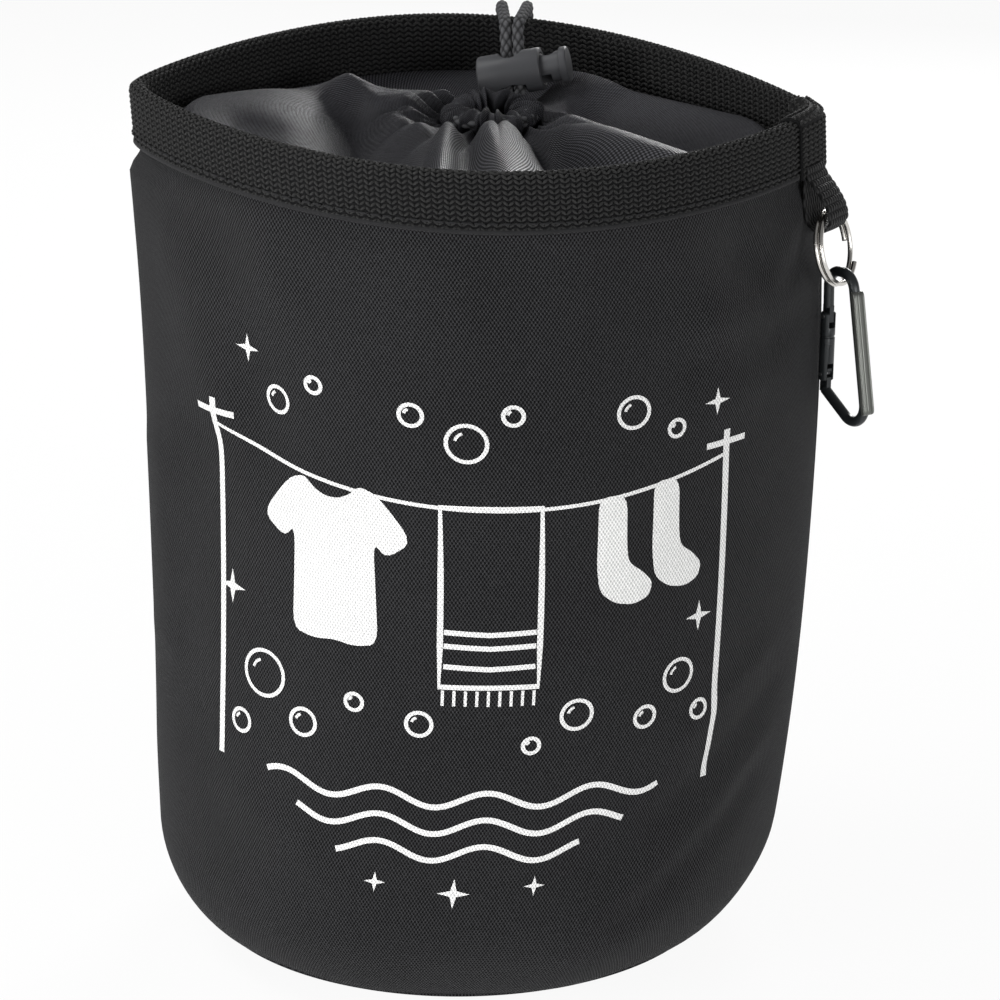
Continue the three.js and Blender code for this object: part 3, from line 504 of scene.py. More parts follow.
# %% Shape rule
BAG_HEIGHT = 252 * MM
BODY_RADIUS = 91.5 * MM
BODY_SWELL = 1.4 * MM
BODY_BOW = 6 * MM
MOUTH_HALF_WIDTH = 100 * MM
MOUTH_FRONT = 83 * MM
MOUTH_BACK = 103 * MM
FRONT_PINCH = 1.95
BACK_PINCH = 2.0
TIP_SOFTNESS = 0.35
MOUTH_SHIFT = (5 * MM, 7 * MM)
MOUTH_SLOPE = (-0.04, 0.06)
LEFT_BULGE = 2.3 * MM
BULGE_GROWS = (0.02, 0.25)  # between these shares of the bag's height
BULGE_EASES = (0.55, 0.88)
BULGE_LOSS = 0.35
BINDING_STARTS = (0.9, 0.93)
TIP_DRAW = (2.8 * MM, 2.0 * MM)  # how far the binding draws in the left and right tips


def drawn_sides(share, cosine):
    """How far a point moves to the right: the left wall bulges, and the binding draws in both tips."""
    left = np.maximum(-cosine, 0)
    right = np.maximum(cosine, 0)
    bound = ease(share, *BINDING_STARTS)
    bulge = LEFT_BULGE * ease(share, *BULGE_GROWS) * (1 - BULGE_LOSS * ease(share, *BULGE_EASES)) * left**2
    return bound * (TIP_DRAW[0] * left**6 - TIP_DRAW[1] * right**6) - (1 - bound) * bulge


def shaped(angle, radius, height):
    """Places a point of a plain round bag on the pinched and leaning bag."""
    share = height / BAG_HEIGHT
    bow = np.sin(math.pi * share)
    sine = np.sin(angle)
    front = sine < 0
    softness = TIP_SOFTNESS**2
    pinch = (np.where(front, FRONT_PINCH, BACK_PINCH) - 1) * share
    squeeze = ((sine**2 + softness) / (1 + softness)) ** (pinch / 2)
    swollen = BODY_RADIUS + BODY_SWELL * bow
    x = radius / BODY_RADIUS * (swollen + (MOUTH_HALF_WIDTH - BODY_RADIUS) * share) * np.cos(angle)
    deep = np.where(front, MOUTH_FRONT, MOUTH_BACK)
    y = radius / BODY_RADIUS * (swollen + (deep - BODY_RADIUS) * share) * sine * squeeze
    tilt = (MOUTH_SLOPE[0] * x + MOUTH_SLOPE[1] * y) * share**2
    x = x + MOUTH_SHIFT[0] * share + BODY_BOW * bow + drawn_sides(share, np.cos(angle))
    return np.stack([x, y + MOUTH_SHIFT[1] * share, height + tilt], -1)


tips = shaped(np.array([0, math.pi]), BODY_RADIUS, BAG_HEIGHT)
print("mouth tips", tips.round(4).tolist())

# %% Creases of the wall
FRONT_FADE = 6 * MM  # the creases end at the sides, over this depth
RIPPLE = 0.35 * MM
RIPPLE_LENGTHS = (31 * MM, 23 * MM)
SEAM_TURN = -0.12  # the side seam lies a little in front of the side
SEAM_HALF_WIDTH = 0.016
SEAM_GROOVE = 0.7 * MM
FOOT_HEIGHT = 1.6 * MM
FOOT_GROOVE = 0.7 * MM
# Each crease: x and z of its two ends, its width, and how far it stands out, in millimetres
CREASES = [
    ((-80, 216), (-68, 171), 8, 2.2),
    ((-66, 218), (-54, 168), 9, -1.7),
    ((-56, 226), (-50, 212), 8, 1.2),
    ((-74, 160), (-80, 100), 9, -1.3),
    ((-88, 150), (-86, 96), 5, 1.3),
    ((92, 84), (56, 58), 4.5, -1.1),
    ((90, 70), (50, 40), 4, 0.9),
    ((84, 56), (46, 30), 4.5, -1.2),
    ((88, 96), (66, 82), 4, 0.7),
    ((62, 218), (80, 178), 9, 1.6),
    ((78, 218), (92, 190), 6, -1.2),
    ((-30, 40), (-62, 62), 7, 0.8),
    ((10, 222), (18, 190), 11, -0.6),
    ((99, 222), (91, 205), 4, 1.1),
    ((82, 214), (96, 205), 4.5, -1.5),
    ((70, 199), (94, 197), 6, 1.5),
    ((66, 188), (90, 186), 6, -1.0),
    ((34, 22), (74, 44), 12, 1.5),
]


def soft_line(place, start, end, width):
    """One on a line across the front, seen in X and Z, and fading to nothing at its width."""
    start = np.array(start) * MM
    run = np.array(end) * MM - start
    flat = place[..., (0, 2)] - start
    share = np.clip(flat @ run / (run @ run), 0, 1)
    away = np.linalg.norm(flat - share[..., None] * run, axis=-1)
    return bell(away, width * MM) / (1 + np.exp(place[..., 1] / FRONT_FADE))


def creases(place, angle, rise):
    """How far the soft wall stands out of its plain shape."""
    height = sum(depth * MM * soft_line(place, start, end, width) for start, end, width, depth in CREASES)
    slow, quick = (rise / length for length in RIPPLE_LENGTHS)
    ripple = np.sin(5 * angle + 0.7) * np.sin(slow) + 0.6 * np.sin(9 * angle + quick)
    seam = SEAM_GROOVE * bell(wrapped(angle - SEAM_TURN), SEAM_HALF_WIDTH)
    return height + RIPPLE * ripple - seam - FOOT_GROOVE * bell(rise, FOOT_HEIGHT)


print(len(CREASES), "creases")

# %% Wall surface
FABRIC = 0.9 * MM
BASE_CORNER = 33 * MM
BASE_SEAM_RISE = 4.7 * MM
TURN_CENTRE = BASE_CORNER + FABRIC / 2
SEAM_ANGLE = math.asin((BASE_SEAM_RISE - TURN_CENTRE) / BASE_CORNER)
TURN_LENGTH = -SEAM_ANGLE * BASE_CORNER
BINDING_LOW = 235.3 * MM
WALL_TUCK = 12 * MM  # how far the wall goes up inside the binding
WALL_RISE = TURN_LENGTH + BINDING_LOW + WALL_TUCK - TURN_CENTRE
ANGLE_STEP = 0.002


def directions(surface, angle, across, step):
    """The outward direction of a surface and the one along it, from small steps on it."""
    along = surface(angle + ANGLE_STEP, across) - surface(angle - ANGLE_STEP, across)
    over = surface(angle, across + step) - surface(angle, across - step)
    return unit(np.cross(along, over)), unit(along)


def plain_wall(angle, rise):
    """The wall without creases, by angle and by distance up the cloth from the base seam."""
    bend = SEAM_ANGLE + np.minimum(rise, TURN_LENGTH) / BASE_CORNER
    radius = BODY_RADIUS - BASE_CORNER + BASE_CORNER * np.cos(bend)
    height = TURN_CENTRE + BASE_CORNER * np.sin(bend) + np.maximum(rise - TURN_LENGTH, 0)
    return shaped(angle, radius, height)


def wall_surface(angle, rise, lift=0.0):
    """Places on the creased wall's outer face, lifted off it."""
    place = plain_wall(angle, rise)
    out, _ = directions(plain_wall, angle, rise, 0.1 * MM)
    return place + out * (FABRIC / 2 + lift + creases(place, angle, rise))[..., None]


print("cloth of the wall", round(math.tau * BODY_RADIUS, 3), "by", round(WALL_RISE, 3), "m")

# %% [markdown]
# ## Cloth finishes
# The wall is a coarse plain weave whose small gaps show as staggered dark dots, and their dark tone is
# painted shade between the threads. An image could hold it, and two sine waves multiplied on the cloth map
# do it at any size and without a file. The gaps are dull as well as painted dark, so that no lamp shines in
# them. The same pattern, with other pitches, makes the liner's satin weave, the tab's ribs and the print,
# which lies on the threads of the wall.

# %% Cloth finishes
GAP_ROUGHNESS = 0.95
SHEEN_ROUGHNESS = 0.4
UNEVEN_MIDDLE = 0.42  # what both noises come to on average


def weave(tree, across, up):
    """Height of a weave: 1 on a thread and -1 in a gap, on the cloth map in metres."""
    place = node(tree, "ShaderNodeUVMap", uv_map="cloth").outputs[0]
    split = node(tree, "ShaderNodeSeparateXYZ", {0: place})
    waves = []
    for axis, pitch in ((0, across), (1, up)):
        angle = maths(tree, "MULTIPLY", split.outputs[axis], math.tau / pitch)
        waves.append(maths(tree, "SINE", angle))
    return maths(tree, "MULTIPLY", *waves)


def woven(name, thread, gap, pitch, depth, roughness, specular, sheen=0.0, span=(-0.7, 0.45)):
    """A woven cloth with dull gaps in painted shade and uneven yarn. Span is the height from gap to thread.
    """
    material, tree, shader = finish(name, thread, roughness, specular=specular)
    feed(tree, shader, {"Sheen Weight": sheen, "Sheen Roughness": SHEEN_ROUGHNESS})
    broad = maths(tree, "MULTIPLY", noise(tree, scale=28.0, detail=4.0), 0.35)
    yarn = maths(tree, "MULTIPLY", noise(tree, scale=900.0, detail=2.0), 0.5)
    uneven = maths(tree, "SUBTRACT", maths(tree, "ADD", broad, yarn), UNEVEN_MIDDLE)
    raised = maths(tree, "ADD", weave(tree, *pitch), uneven)
    heights = {0: raised, 1: span[0], 2: span[1]}
    shade = node(tree, "ShaderNodeMapRange", heights, interpolation_type="SMOOTHSTEP").outputs[0]
    # The gap tone is painted shade between the threads, and the thread tone is the cloth's own colour
    two_tone(tree, shader, shade, gap, thread)
    dull = node(tree, "ShaderNodeMapRange", {0: shade, 3: GAP_ROUGHNESS, 4: roughness})
    feed(tree, shader, {"Roughness": dull.outputs[0]})
    bumped(tree, shader, raised, strength=0.8, depth=depth)
    return material


WEAVE = (0.98 * MM, 1.56 * MM)
SATIN_WEAVE = (1.05 * MM, 1.7 * MM)
# In each cloth below, the gap colour is painted shade between the threads
BLACK_CLOTH = woven(
    "black_cloth", thread=(0.036, 0.0362, 0.0385), gap=(0.002, 0.002, 0.0024), pitch=WEAVE,
    depth=0.0004, roughness=0.72, specular=0.14, sheen=0.03, span=(-0.45, 0.45),
)
LINER_CLOTH = woven(
    "liner_cloth", thread=(0.06, 0.06, 0.07), gap=(0.003, 0.003, 0.004), pitch=SATIN_WEAVE,
    depth=0.0001, roughness=0.4, specular=0.3, span=(-0.4, 0.7),
)
PRINT_WHITE = woven(
    "print_white", thread=(0.86, 0.86, 0.85), gap=(0.5, 0.5, 0.5), pitch=WEAVE,
    depth=0.0001, roughness=0.7, specular=0.3,
)
print([m.name for m in (BLACK_CLOTH, LINER_CLOTH, PRINT_WHITE)])

# %% [markdown]
# ## Wall and base
# A lathe would give a perfect can. This wall is a grid over the shape rule, with the soft creases of a bag
# that has been folded in a packet, and a Solidify modifier makes it as thick as the cloth. The base is cut
# round, and its edge turns up to the seam, where it stands a little proud of the wall.

# %% Wall
WALL_COLUMNS = 340
WALL_ROWS = 112


def solid(piece, thickness):
    """Gives a sheet its thickness, inwards from its outer face."""
    modifier = piece.modifiers.new("thickness", "SOLIDIFY")
    modifier.thickness = thickness
    modifier.offset = -1
    return piece


rise, angle = crossed(np.linspace(0, WALL_RISE, WALL_ROWS), full_turn(WALL_COLUMNS))
cloth = np.stack([angle * BODY_RADIUS, rise], -1)
wall = grid_piece("wall", wall_surface(angle, rise)[:, :-1], cloth, around=True)
solid(wall, FABRIC)
dress(wall, BLACK_CLOTH, "bag", "bag_cloth", "wall_panel")

# %% Base
TURN_ROWS = 14
FLAT_ROWS = 24
BASE_MIDDLE = 1 * MM
SEAM_LIP = 0.5 * MM
LIP_ROWS = 1.2
SEAM_COVER = 0.05  # how far the base's edge turns on past the seam


def close_middle(mesh, count):
    """Fills the small ring in the middle of a round sheet, which is its first row of points."""
    with edited(mesh) as work:
        work.verts.ensure_lookup_table()
        middle = work.faces.new(work.verts[:count])
        middle.normal_update()
        if middle.normal.z > 0:
            middle.normal_flip()


bend = np.linspace(SEAM_ANGLE + SEAM_COVER, -math.pi / 2, TURN_ROWS)
turn_radius = BODY_RADIUS - BASE_CORNER + (BASE_CORNER + FABRIC / 2) * np.cos(bend)
turn_height = TURN_CENTRE + (BASE_CORNER + FABRIC / 2) * np.sin(bend)
flat_radius = np.linspace(BODY_RADIUS - BASE_CORNER, BASE_MIDDLE, FLAT_ROWS)[1:]
radius = np.concatenate([turn_radius, flat_radius])
height = np.concatenate([turn_height, 0 * flat_radius])
proud = SEAM_LIP * bell(np.arange(len(radius)), LIP_ROWS)
reach, angle = crossed(radius + proud, full_turn(WALL_COLUMNS))
places = shaped(angle, reach, height[:, None])
base = grid_piece("base", places[::-1, :-1], places[::-1, :, :2], around=True)
close_middle(base.data, WALL_COLUMNS)
solid(base, FABRIC)
dress(base, BLACK_CLOTH, "bag", "bag_cloth", "base_panel")

# %% [markdown]
# ## Rim binding
# The mouth is bound with thick webbing, knitted in rows of small V stitches that stagger like the tread of a
# tyre. A bump map would leave the rim's edge smooth, and the photograph shows it lumpy. So each V is two
# small yarn loops, placed by Geometry Nodes on every stitch of a core whose near-black colour is painted
# shade between the loops.

# %% Binding finishes
def yarn_finish(name, colour, deep):
    """Matt yarn with fine fibres."""
    material, tree, shader = finish(name, colour, roughness=0.8, specular=0.14)
    feed(tree, shader, {"Sheen Weight": 0.05})
    fibre = noise(tree, scale=1500.0, detail=3.0)
    two_tone(tree, shader, fibre, deep, colour)
    bumped(tree, shader, fibre, strength=0.7, depth=0.00015)
    return material


WEBBING_YARN = yarn_finish("webbing_yarn", (0.039, 0.039, 0.038), (0.008, 0.008, 0.0085))
# The core is far darker than the yarn: its colour is painted shade between the knitted loops
WEBBING_CORE_PAINTED_SHADE = yarn_finish("webbing_core_painted_shade", (0.004, 0.004, 0.0045), (0.002, 0.002, 0.0024))
SEWING_THREAD = yarn_finish("sewing_thread", (0.02, 0.02, 0.021), (0.01, 0.01, 0.011))
print(WEBBING_YARN.name, WEBBING_CORE_PAINTED_SHADE.name, SEWING_THREAD.name)

# %% Tree helpers
def new_tree(name, sizes):
    """An empty Geometry Nodes tree with a geometry input and output, and named sizes."""
    tree = bpy.data.node_groups.new(name, "GeometryNodeTree")
    tree.interface.new_socket("Geometry", in_out="INPUT", socket_type="NodeSocketGeometry")
    for label, kind in sizes:
        tree.interface.new_socket(label, in_out="INPUT", socket_type="NodeSocket" + kind)
    tree.interface.new_socket("Geometry", in_out="OUTPUT", socket_type="NodeSocketGeometry")
    return tree, node(tree, "NodeGroupInput"), node(tree, "NodeGroupOutput")


def end_tree(tree, source, target, points, shape, aim):
    """Puts a shape on every point, and makes all of them real, smooth and dressed, as the export needs."""
    places = {"Points": points.outputs[0], "Instance": shape.outputs[0], "Rotation": aim.outputs[0]}
    copies = node(tree, "GeometryNodeInstanceOnPoints", places)
    real = node(tree, "GeometryNodeRealizeInstances", {0: copies.outputs[0]})
    smooth = node(tree, "GeometryNodeSetShadeSmooth", {0: real.outputs[0]})
    looks = {0: smooth.outputs[0], "Material": source.outputs["Material"]}
    feed(tree, target, {0: node(tree, "GeometryNodeSetMaterial", looks).outputs[0]})


def grown(name, mesh, tree, values):
    """Runs a tree on a mesh or curve and keeps the result as a plain mesh."""
    seed = new_piece(name + "_seed", mesh)
    modifier = seed.modifiers.new("grow", "NODES")
    modifier.node_group = tree
    for item in tree.interface.items_tree:
        if item.in_out == "INPUT" and item.name in values:
            modifier[item.identifier] = values[item.name]
    result = bpy.data.meshes.new_from_object(seed.evaluated_get(bpy.context.evaluated_depsgraph_get()))
    bpy.data.objects.remove(seed)
    return new_piece(name, result)


print("tree helpers ready")

# %% Knit tree
def knit_tree():
    """Two leaning yarn loops on every point, turned by the point's own out and along directions."""
    sizes = [("Loop Size", "Vector"), ("Lean", "Float"), ("Apart", "Float"), ("Material", "Material")]
    tree, source, target = new_tree("knit_stitches", sizes)
    ball = node(tree, "GeometryNodeMeshIcoSphere", {"Radius": 1.0, "Subdivisions": 1})
    both = node(tree, "GeometryNodeJoinGeometry")
    for side in (1, -1):
        lean, apart = (maths(tree, "MULTIPLY", source.outputs[size], side) for size in ("Lean", "Apart"))
        turn = node(tree, "ShaderNodeCombineXYZ", {2: lean}).outputs[0]
        aside = node(tree, "ShaderNodeCombineXYZ", {0: apart}).outputs[0]
        moves = {"Translation": aside, "Rotation": turn, "Scale": source.outputs["Loop Size"]}
        loop = node(tree, "GeometryNodeTransform", {0: ball.outputs[0], **moves})
        feed(tree, both, {0: loop.outputs[0]})
    ways = {}
    for number, way in enumerate(("out", "along")):
        stored = node(tree, "GeometryNodeInputNamedAttribute", {0: way}, data_type="FLOAT_VECTOR")
        ways[number] = stored.outputs[0]
    aim = node(tree, "FunctionNodeAxesToRotation", ways, primary_axis="Z", secondary_axis="X")
    end_tree(tree, source, target, source, both, aim)
    return tree


KNIT = knit_tree()
print(KNIT.name, len(KNIT.nodes), "nodes")

# %% Binding section
WEBBING = 1.6 * MM
CLEARANCE = 0.3 * MM
BINDING_OUTER = BODY_RADIUS + FABRIC / 2 + CLEARANCE + WEBBING
BINDING_INNER = BODY_RADIUS - FABRIC / 2 - CLEARANCE - WEBBING
FOLD_RADIUS = (BINDING_OUTER - BINDING_INNER) / 2
FOLD_CENTRE = BAG_HEIGHT - FOLD_RADIUS
LEG = FOLD_CENTRE - BINDING_LOW
FOLD_LENGTH = math.pi * FOLD_RADIUS
SECTION_LENGTH = 2 * LEG + FOLD_LENGTH


def binding_place(angle, across, lift):
    """A place on the webbing, by distance from its outer lower edge over the fold to its inner one."""
    bend = np.clip((across - LEG) / FOLD_RADIUS, 0, math.pi)
    reach = FOLD_RADIUS + lift
    radius = BODY_RADIUS + reach * np.cos(bend)
    down = np.maximum(across - LEG - FOLD_LENGTH, 0)
    height = np.minimum(across, LEG) + BINDING_LOW + reach * np.sin(bend) - down
    return shaped(angle, radius, height)


rim_angles = full_turn(4000)
rim_length = lengths_along(binding_place(rim_angles, LEG, 0.0))


def even_angles(start, end, pitch):
    """Angles at even distances along the rim."""
    first, last = np.interp([start, end], rim_angles, rim_length)
    count = round((last - first) / pitch)
    return np.interp(first + (np.arange(count) + 0.5) * (last - first) / count, rim_length, rim_angles)


print("rim", round(rim_length[-1], 3), "m, webbing", round(SECTION_LENGTH, 4), "m wide")

# %% Binding core
CORE_DEPTH = 0.5 * MM

across, angle = crossed(np.linspace(0, SECTION_LENGTH, 34), full_turn(360))
cloth = np.stack([angle * BODY_RADIUS, across], -1)
core = grid_piece("binding_core", binding_place(angle, across, -CORE_DEPTH)[:, :-1], cloth, around=True)
solid(core, WEBBING - CORE_DEPTH)
dress(core, WEBBING_CORE_PAINTED_SHADE, "bag", "webbing", "rim_binding")

# %% Binding stitches
STITCH_WIDTH = 3.2 * MM
STITCH_ROWS = 24
OUTSIDE_ROWS = 14
KNIT_LIFT = -0.3 * MM
LOOP_SIZE = (0.42 * MM, 1.12 * MM, 0.5 * MM)
LOOP_LEAN = 0.92
LAP_FRONT = 24 * DEGREE
LAP_BACK = 12 * DEGREE
LAP_COVER = 0.02  # the stitches run on a little under the lapped end


def knit(name, angles, rows, lift):
    """V stitches at every crossing of the angles and rows."""
    across = (np.arange(rows[0], rows[1]) + 0.5) * SECTION_LENGTH / STITCH_ROWS
    angle, across = (values.ravel() for values in crossed(angles, across))
    out, along = directions(lambda a, c: binding_place(a, c, lift), angle, across, 0.05 * MM)
    seeds = bpy.data.meshes.new(name)
    seeds.from_pydata(binding_place(angle, across, lift).tolist(), [], [])
    for label, ways in (("out", out), ("along", along)):
        seeds.attributes.new(label, "FLOAT_VECTOR", "POINT").data.foreach_set("vector", ways.ravel())
    values = {"Loop Size": LOOP_SIZE, "Lean": LOOP_LEAN, "Apart": STITCH_WIDTH / 4, "Material": WEBBING_YARN}
    return dress(grown(name, seeds, KNIT, values), None, "bag", "webbing")


open_rim = even_angles(LAP_BACK - LAP_COVER, math.tau - LAP_FRONT + LAP_COVER, STITCH_WIDTH)
whole_rim = even_angles(0, math.tau, STITCH_WIDTH)
knit("binding_knit_outside", open_rim, (0, OUTSIDE_ROWS), KNIT_LIFT)
knit("binding_knit_inside", whole_rim, (OUTSIDE_ROWS, STITCH_ROWS), KNIT_LIFT)

# %% Selvedge of the binding
SELVEDGE_RADIUS = 0.75 * MM
SELVEDGE_RISE = 0.2 * MM
SELVEDGE_LIFT = -0.45 * MM

angle = np.linspace(LAP_BACK, math.tau - LAP_FRONT, 400)
edge_line = binding_place(angle, SELVEDGE_RISE, SELVEDGE_LIFT)
selvedge = tube_piece("binding_selvedge", edge_line, SELVEDGE_RADIUS, 10, first=UP)
dress(selvedge, SEWING_THREAD, "bag", "webbing")

# %% Lapped end of the binding
LAP_LIFT = 1.5 * MM
LAP_ROWS = 15
LAP_HANG = 0.6 * MM

across, angle = crossed(np.linspace(-LAP_HANG, LEG + FOLD_LENGTH, 24), np.linspace(-LAP_FRONT, LAP_BACK, 40))
cloth = np.stack([angle * BODY_RADIUS, across], -1)
lap = grid_piece("binding_lap", binding_place(angle, across, LAP_LIFT - CORE_DEPTH), cloth)
solid(lap, LAP_LIFT - CORE_DEPTH)
dress(lap, WEBBING_CORE_PAINTED_SHADE, "bag", "webbing")
front_angles = even_angles(math.tau - LAP_FRONT, math.tau, STITCH_WIDTH) - math.tau
lap_angles = np.concatenate([front_angles, even_angles(0, LAP_BACK, STITCH_WIDTH)])
knit("binding_knit_lap", lap_angles, (0, LAP_ROWS), LAP_LIFT + KNIT_LIFT)

# %% [markdown]
# ## Sewing
# A row of black lockstitches holds the webbing near its lower edge. Modelling each stitch by hand would be
# slow, so one tree puts a small thread bead at even steps along any curve, lying along the curve.

# %% Row of stitches
STITCH_SPACING = 3.6 * MM
STITCH_BEAD = (1.5 * MM, 0.32 * MM, 0.32 * MM)
STITCH_RISE = 2.6 * MM
STITCH_LIFT = 0.22 * MM


def stitch_tree():
    """Beads of thread along a curve, each lying along it."""
    sizes = [("Spacing", "Float"), ("Bead Size", "Vector"), ("Material", "Material")]
    tree, source, target = new_tree("sewing_row", sizes)
    curve = {0: source.outputs[0], "Length": source.outputs["Spacing"]}
    steps = node(tree, "GeometryNodeCurveToPoints", curve, mode="LENGTH")
    ball = node(tree, "GeometryNodeMeshIcoSphere", {"Radius": 1.0, "Subdivisions": 2})
    bead = node(tree, "GeometryNodeTransform", {0: ball.outputs[0], "Scale": source.outputs["Bead Size"]})
    ways = {0: steps.outputs["Tangent"], 1: UP}
    aim = node(tree, "FunctionNodeAxesToRotation", ways, primary_axis="X", secondary_axis="Z")
    end_tree(tree, source, target, steps, bead, aim)
    return tree


def thread_line(name, points):
    """A curve through points, for a row of stitches."""
    curve = bpy.data.curves.new(name, "CURVE")
    curve.dimensions = "3D"
    line = curve.splines.new("POLY")
    line.points.add(len(points) - 1)
    line.points.foreach_set("co", np.column_stack([points, np.ones(len(points))]).ravel())
    return curve


angle = np.linspace(LAP_BACK, math.tau - LAP_FRONT, 500)
row = thread_line("rim_sewing", binding_place(angle, STITCH_RISE, STITCH_LIFT))
values = {"Spacing": STITCH_SPACING, "Bead Size": STITCH_BEAD, "Material": SEWING_THREAD}
rim_sewing = grown("rim_sewing", row, stitch_tree(), values)
dress(rim_sewing, None, "bag", "webbing")

# %% [markdown]
# ## Tapes inside
# The raw edges of the base seam and the side seam are bound with tape against the inside of the wall. They
# only show when the mouth is open, so a rounded band on the shape rule is enough.

# %% Base tape
TAPE = 1.4 * MM
BASE_TAPE_LENGTH = 9 * MM
BAND_SQUARENESS = 0.4


def rounded_band(width, thickness, count=20):
    """A flat oval, as pairs of distance across the band and depth."""
    turn = full_turn(count, closed=False)
    depth = np.sign(np.sin(turn)) * np.abs(np.sin(turn)) ** BAND_SQUARENESS
    return np.stack([np.cos(turn) * width / 2, depth * thickness / 2], -1)


def hoop_piece(name, places):
    """A closed ring, from rows round its section and columns round the bag."""
    closed = np.concatenate([places, places[:1]])
    cloth = np.stack(crossed(np.arange(closed.shape[0]) * MM, np.arange(closed.shape[1] + 1) * MM), -1)
    piece = grid_piece(name, closed, cloth, around=True)
    with edited(piece.data) as work:
        bmesh.ops.remove_doubles(work, verts=work.verts, dist=1e-6)
        bmesh.ops.recalc_face_normals(work, faces=work.faces)
    return piece


band = rounded_band(BASE_TAPE_LENGTH, TAPE)
bend = SEAM_ANGLE + (BASE_TAPE_LENGTH / 2 + band[:, :1]) / BASE_CORNER
reach = BASE_CORNER - FABRIC / 2 - CLEARANCE - TAPE / 2 + band[:, 1:]
angle = full_turn(180, closed=False)[None, :]
radius = BODY_RADIUS - BASE_CORNER + reach * np.cos(bend)
height = TURN_CENTRE + reach * np.sin(bend)
base_tape = hoop_piece("base_tape", shaped(angle, radius, height))
dress(base_tape, SEWING_THREAD, "bag", "webbing", "base_seam_tape")

# %% Side tape
SIDE_TAPE_HALF_ANGLE = 3 * DEGREE
SIDE_TAPE_GAP = 0.5 * MM
SIDE_TAPE_END = 8 * MM

band = rounded_band(2 * SIDE_TAPE_HALF_ANGLE * BODY_RADIUS, TAPE)
rise = np.linspace(TURN_CENTRE + SIDE_TAPE_END, BINDING_LOW - SIDE_TAPE_END, 60)
height, angle = crossed(rise, band[:, 0] / BODY_RADIUS)
radius = BODY_RADIUS - FABRIC / 2 - SIDE_TAPE_GAP - TAPE / 2 + band[None, :, 1]
cloth = np.stack(crossed(rise, np.arange(len(band) + 1) * MM), -1)
side_tape = grid_piece("side_tape", shaped(angle, radius, height), cloth, around=True, capped=True)
dress(side_tape, SEWING_THREAD, "bag", "webbing", "side_seam_tape")

# %% [markdown]
# ## Liner
# The liner is a strip of thin satin cloth, sewn under the binding and drawn together on the cord. A cloth
# simulation finds its own folds, and the photograph shows particular ones: a high crest on the left, a dark
# valley before it, a wide pleat at the front and a taut roll at the back on the right. So the folds are
# written as heights over lines on the cloth. The main ones are in the CAD solid as well, from the same
# numbers, and the smaller ones are only here.

# %% Liner folds
FOLD_END = 9.0
FOLD_ROUND = 4
# Each fold: x, y and height at its two ends in millimetres, then its widths to the left and right
MAIN_FOLDS = [
    ((-92, 8, 9), (-32, 51, 11.5), 13, 40),
    ((-32, 51, 11.5), (0, 47, 6.5), 9, 15),
    ((-30, 40, -8), (-24, -60, -14), 13, 16),
    ((11, 26, 9), (15, -66, 10), 10, 10),
    ((-2, 25, 7), (-6, -60, 7), 4.5, 4.5),
    ((4.5, 24, -3), (4.5, -60, -5), 4, 4),
    ((24, 40, 8), (62, -36, 12), 20, 7),
    ((36, 78, 9), (94, 18, 8), 6, 15),
    ((26, 22, -4), (37, -52, -7), 7, 7),
    ((-40, 78, -5), (24, 78, -4), 16, 14),
]
SMALL_FOLDS = [
    ((-30, 36, -3), (-26, -50, -6), 6, 6),
    ((42, 50, -6), (82, -6, -8), 15, 14),
    ((-26, 44, 9), (-2, 41, 8), 9, 4),
    ((-30, 59, 7), (2, 55, 7), 10, 9),
    ((30, 14, -5), (46, -50, -8), 7, 6),
    ((-60, 4, -3), (-50, -40, -6), 14, 10),
]


def fold_height(x, y, start, end, left, right):
    """Height of one fold over a place in millimetres."""
    run = math.hypot(end[0] - start[0], end[1] - start[1])
    way = ((end[0] - start[0]) / run, (end[1] - start[1]) / run)
    along = (x - start[0]) * way[0] + (y - start[1]) * way[1]
    across = (y - start[1]) * way[0] - (x - start[0]) * way[1]
    past = np.maximum(np.maximum(-along, along - run), 0)
    height = start[2] + (end[2] - start[2]) * np.clip(along / run, 0, 1)
    return height * bell(across, np.where(across > 0, left, right)) * bell(past, FOLD_END)


def liner_rise(x, y):
    """Folds that rise are joined, and those that sink are cut into them."""
    heights = [fold_height(x, y, *fold) for fold in MAIN_FOLDS + SMALL_FOLDS]
    raised = sum(np.maximum(height, 0) ** FOLD_ROUND for height in heights)
    return raised ** (1 / FOLD_ROUND) + sum(np.minimum(height, 0) for height in heights)


print(len(MAIN_FOLDS), "main folds and", len(SMALL_FOLDS), "small ones")

# %% Liner surface
GATHER = np.array([10.5, 42.5, 238.5]) * MM
GATHER_RADIUS = 12.5 * MM
LINER_HEM_RADIUS = GATHER_RADIUS + 3.3 * MM
LINER_HEM_DROP = 3.3 * MM
LINER_EDGE_RADIUS = BINDING_INNER - 2 * CLEARANCE
LINER_EDGE_HEIGHT = BINDING_LOW + 0.4 * MM
HEM_FADE = 0.15  # shares of the way from the hem to the rim
RIM_FADE = 0.13
LIFT_FADE = 0.5
HEM_FOLDS = 17
PUCKER = 2.6
FINE_PUCKER = 0.3
FINE_REACH = 0.12
HEM_BACK_RISE = 3.4 * MM
HEM_BACK_TURN = 80 * DEGREE
HEM_BACK_WIDTH = 0.75


def gathers(turn):
    """Runs of small folds that the cord draws in, uneven as cloth falls."""
    uneven = 1.7 * np.sin(2 * turn + 1) + 1.2 * np.sin(3 * turn) + 0.8 * np.sin(5 * turn + 2)
    return HEM_FOLDS * turn + uneven


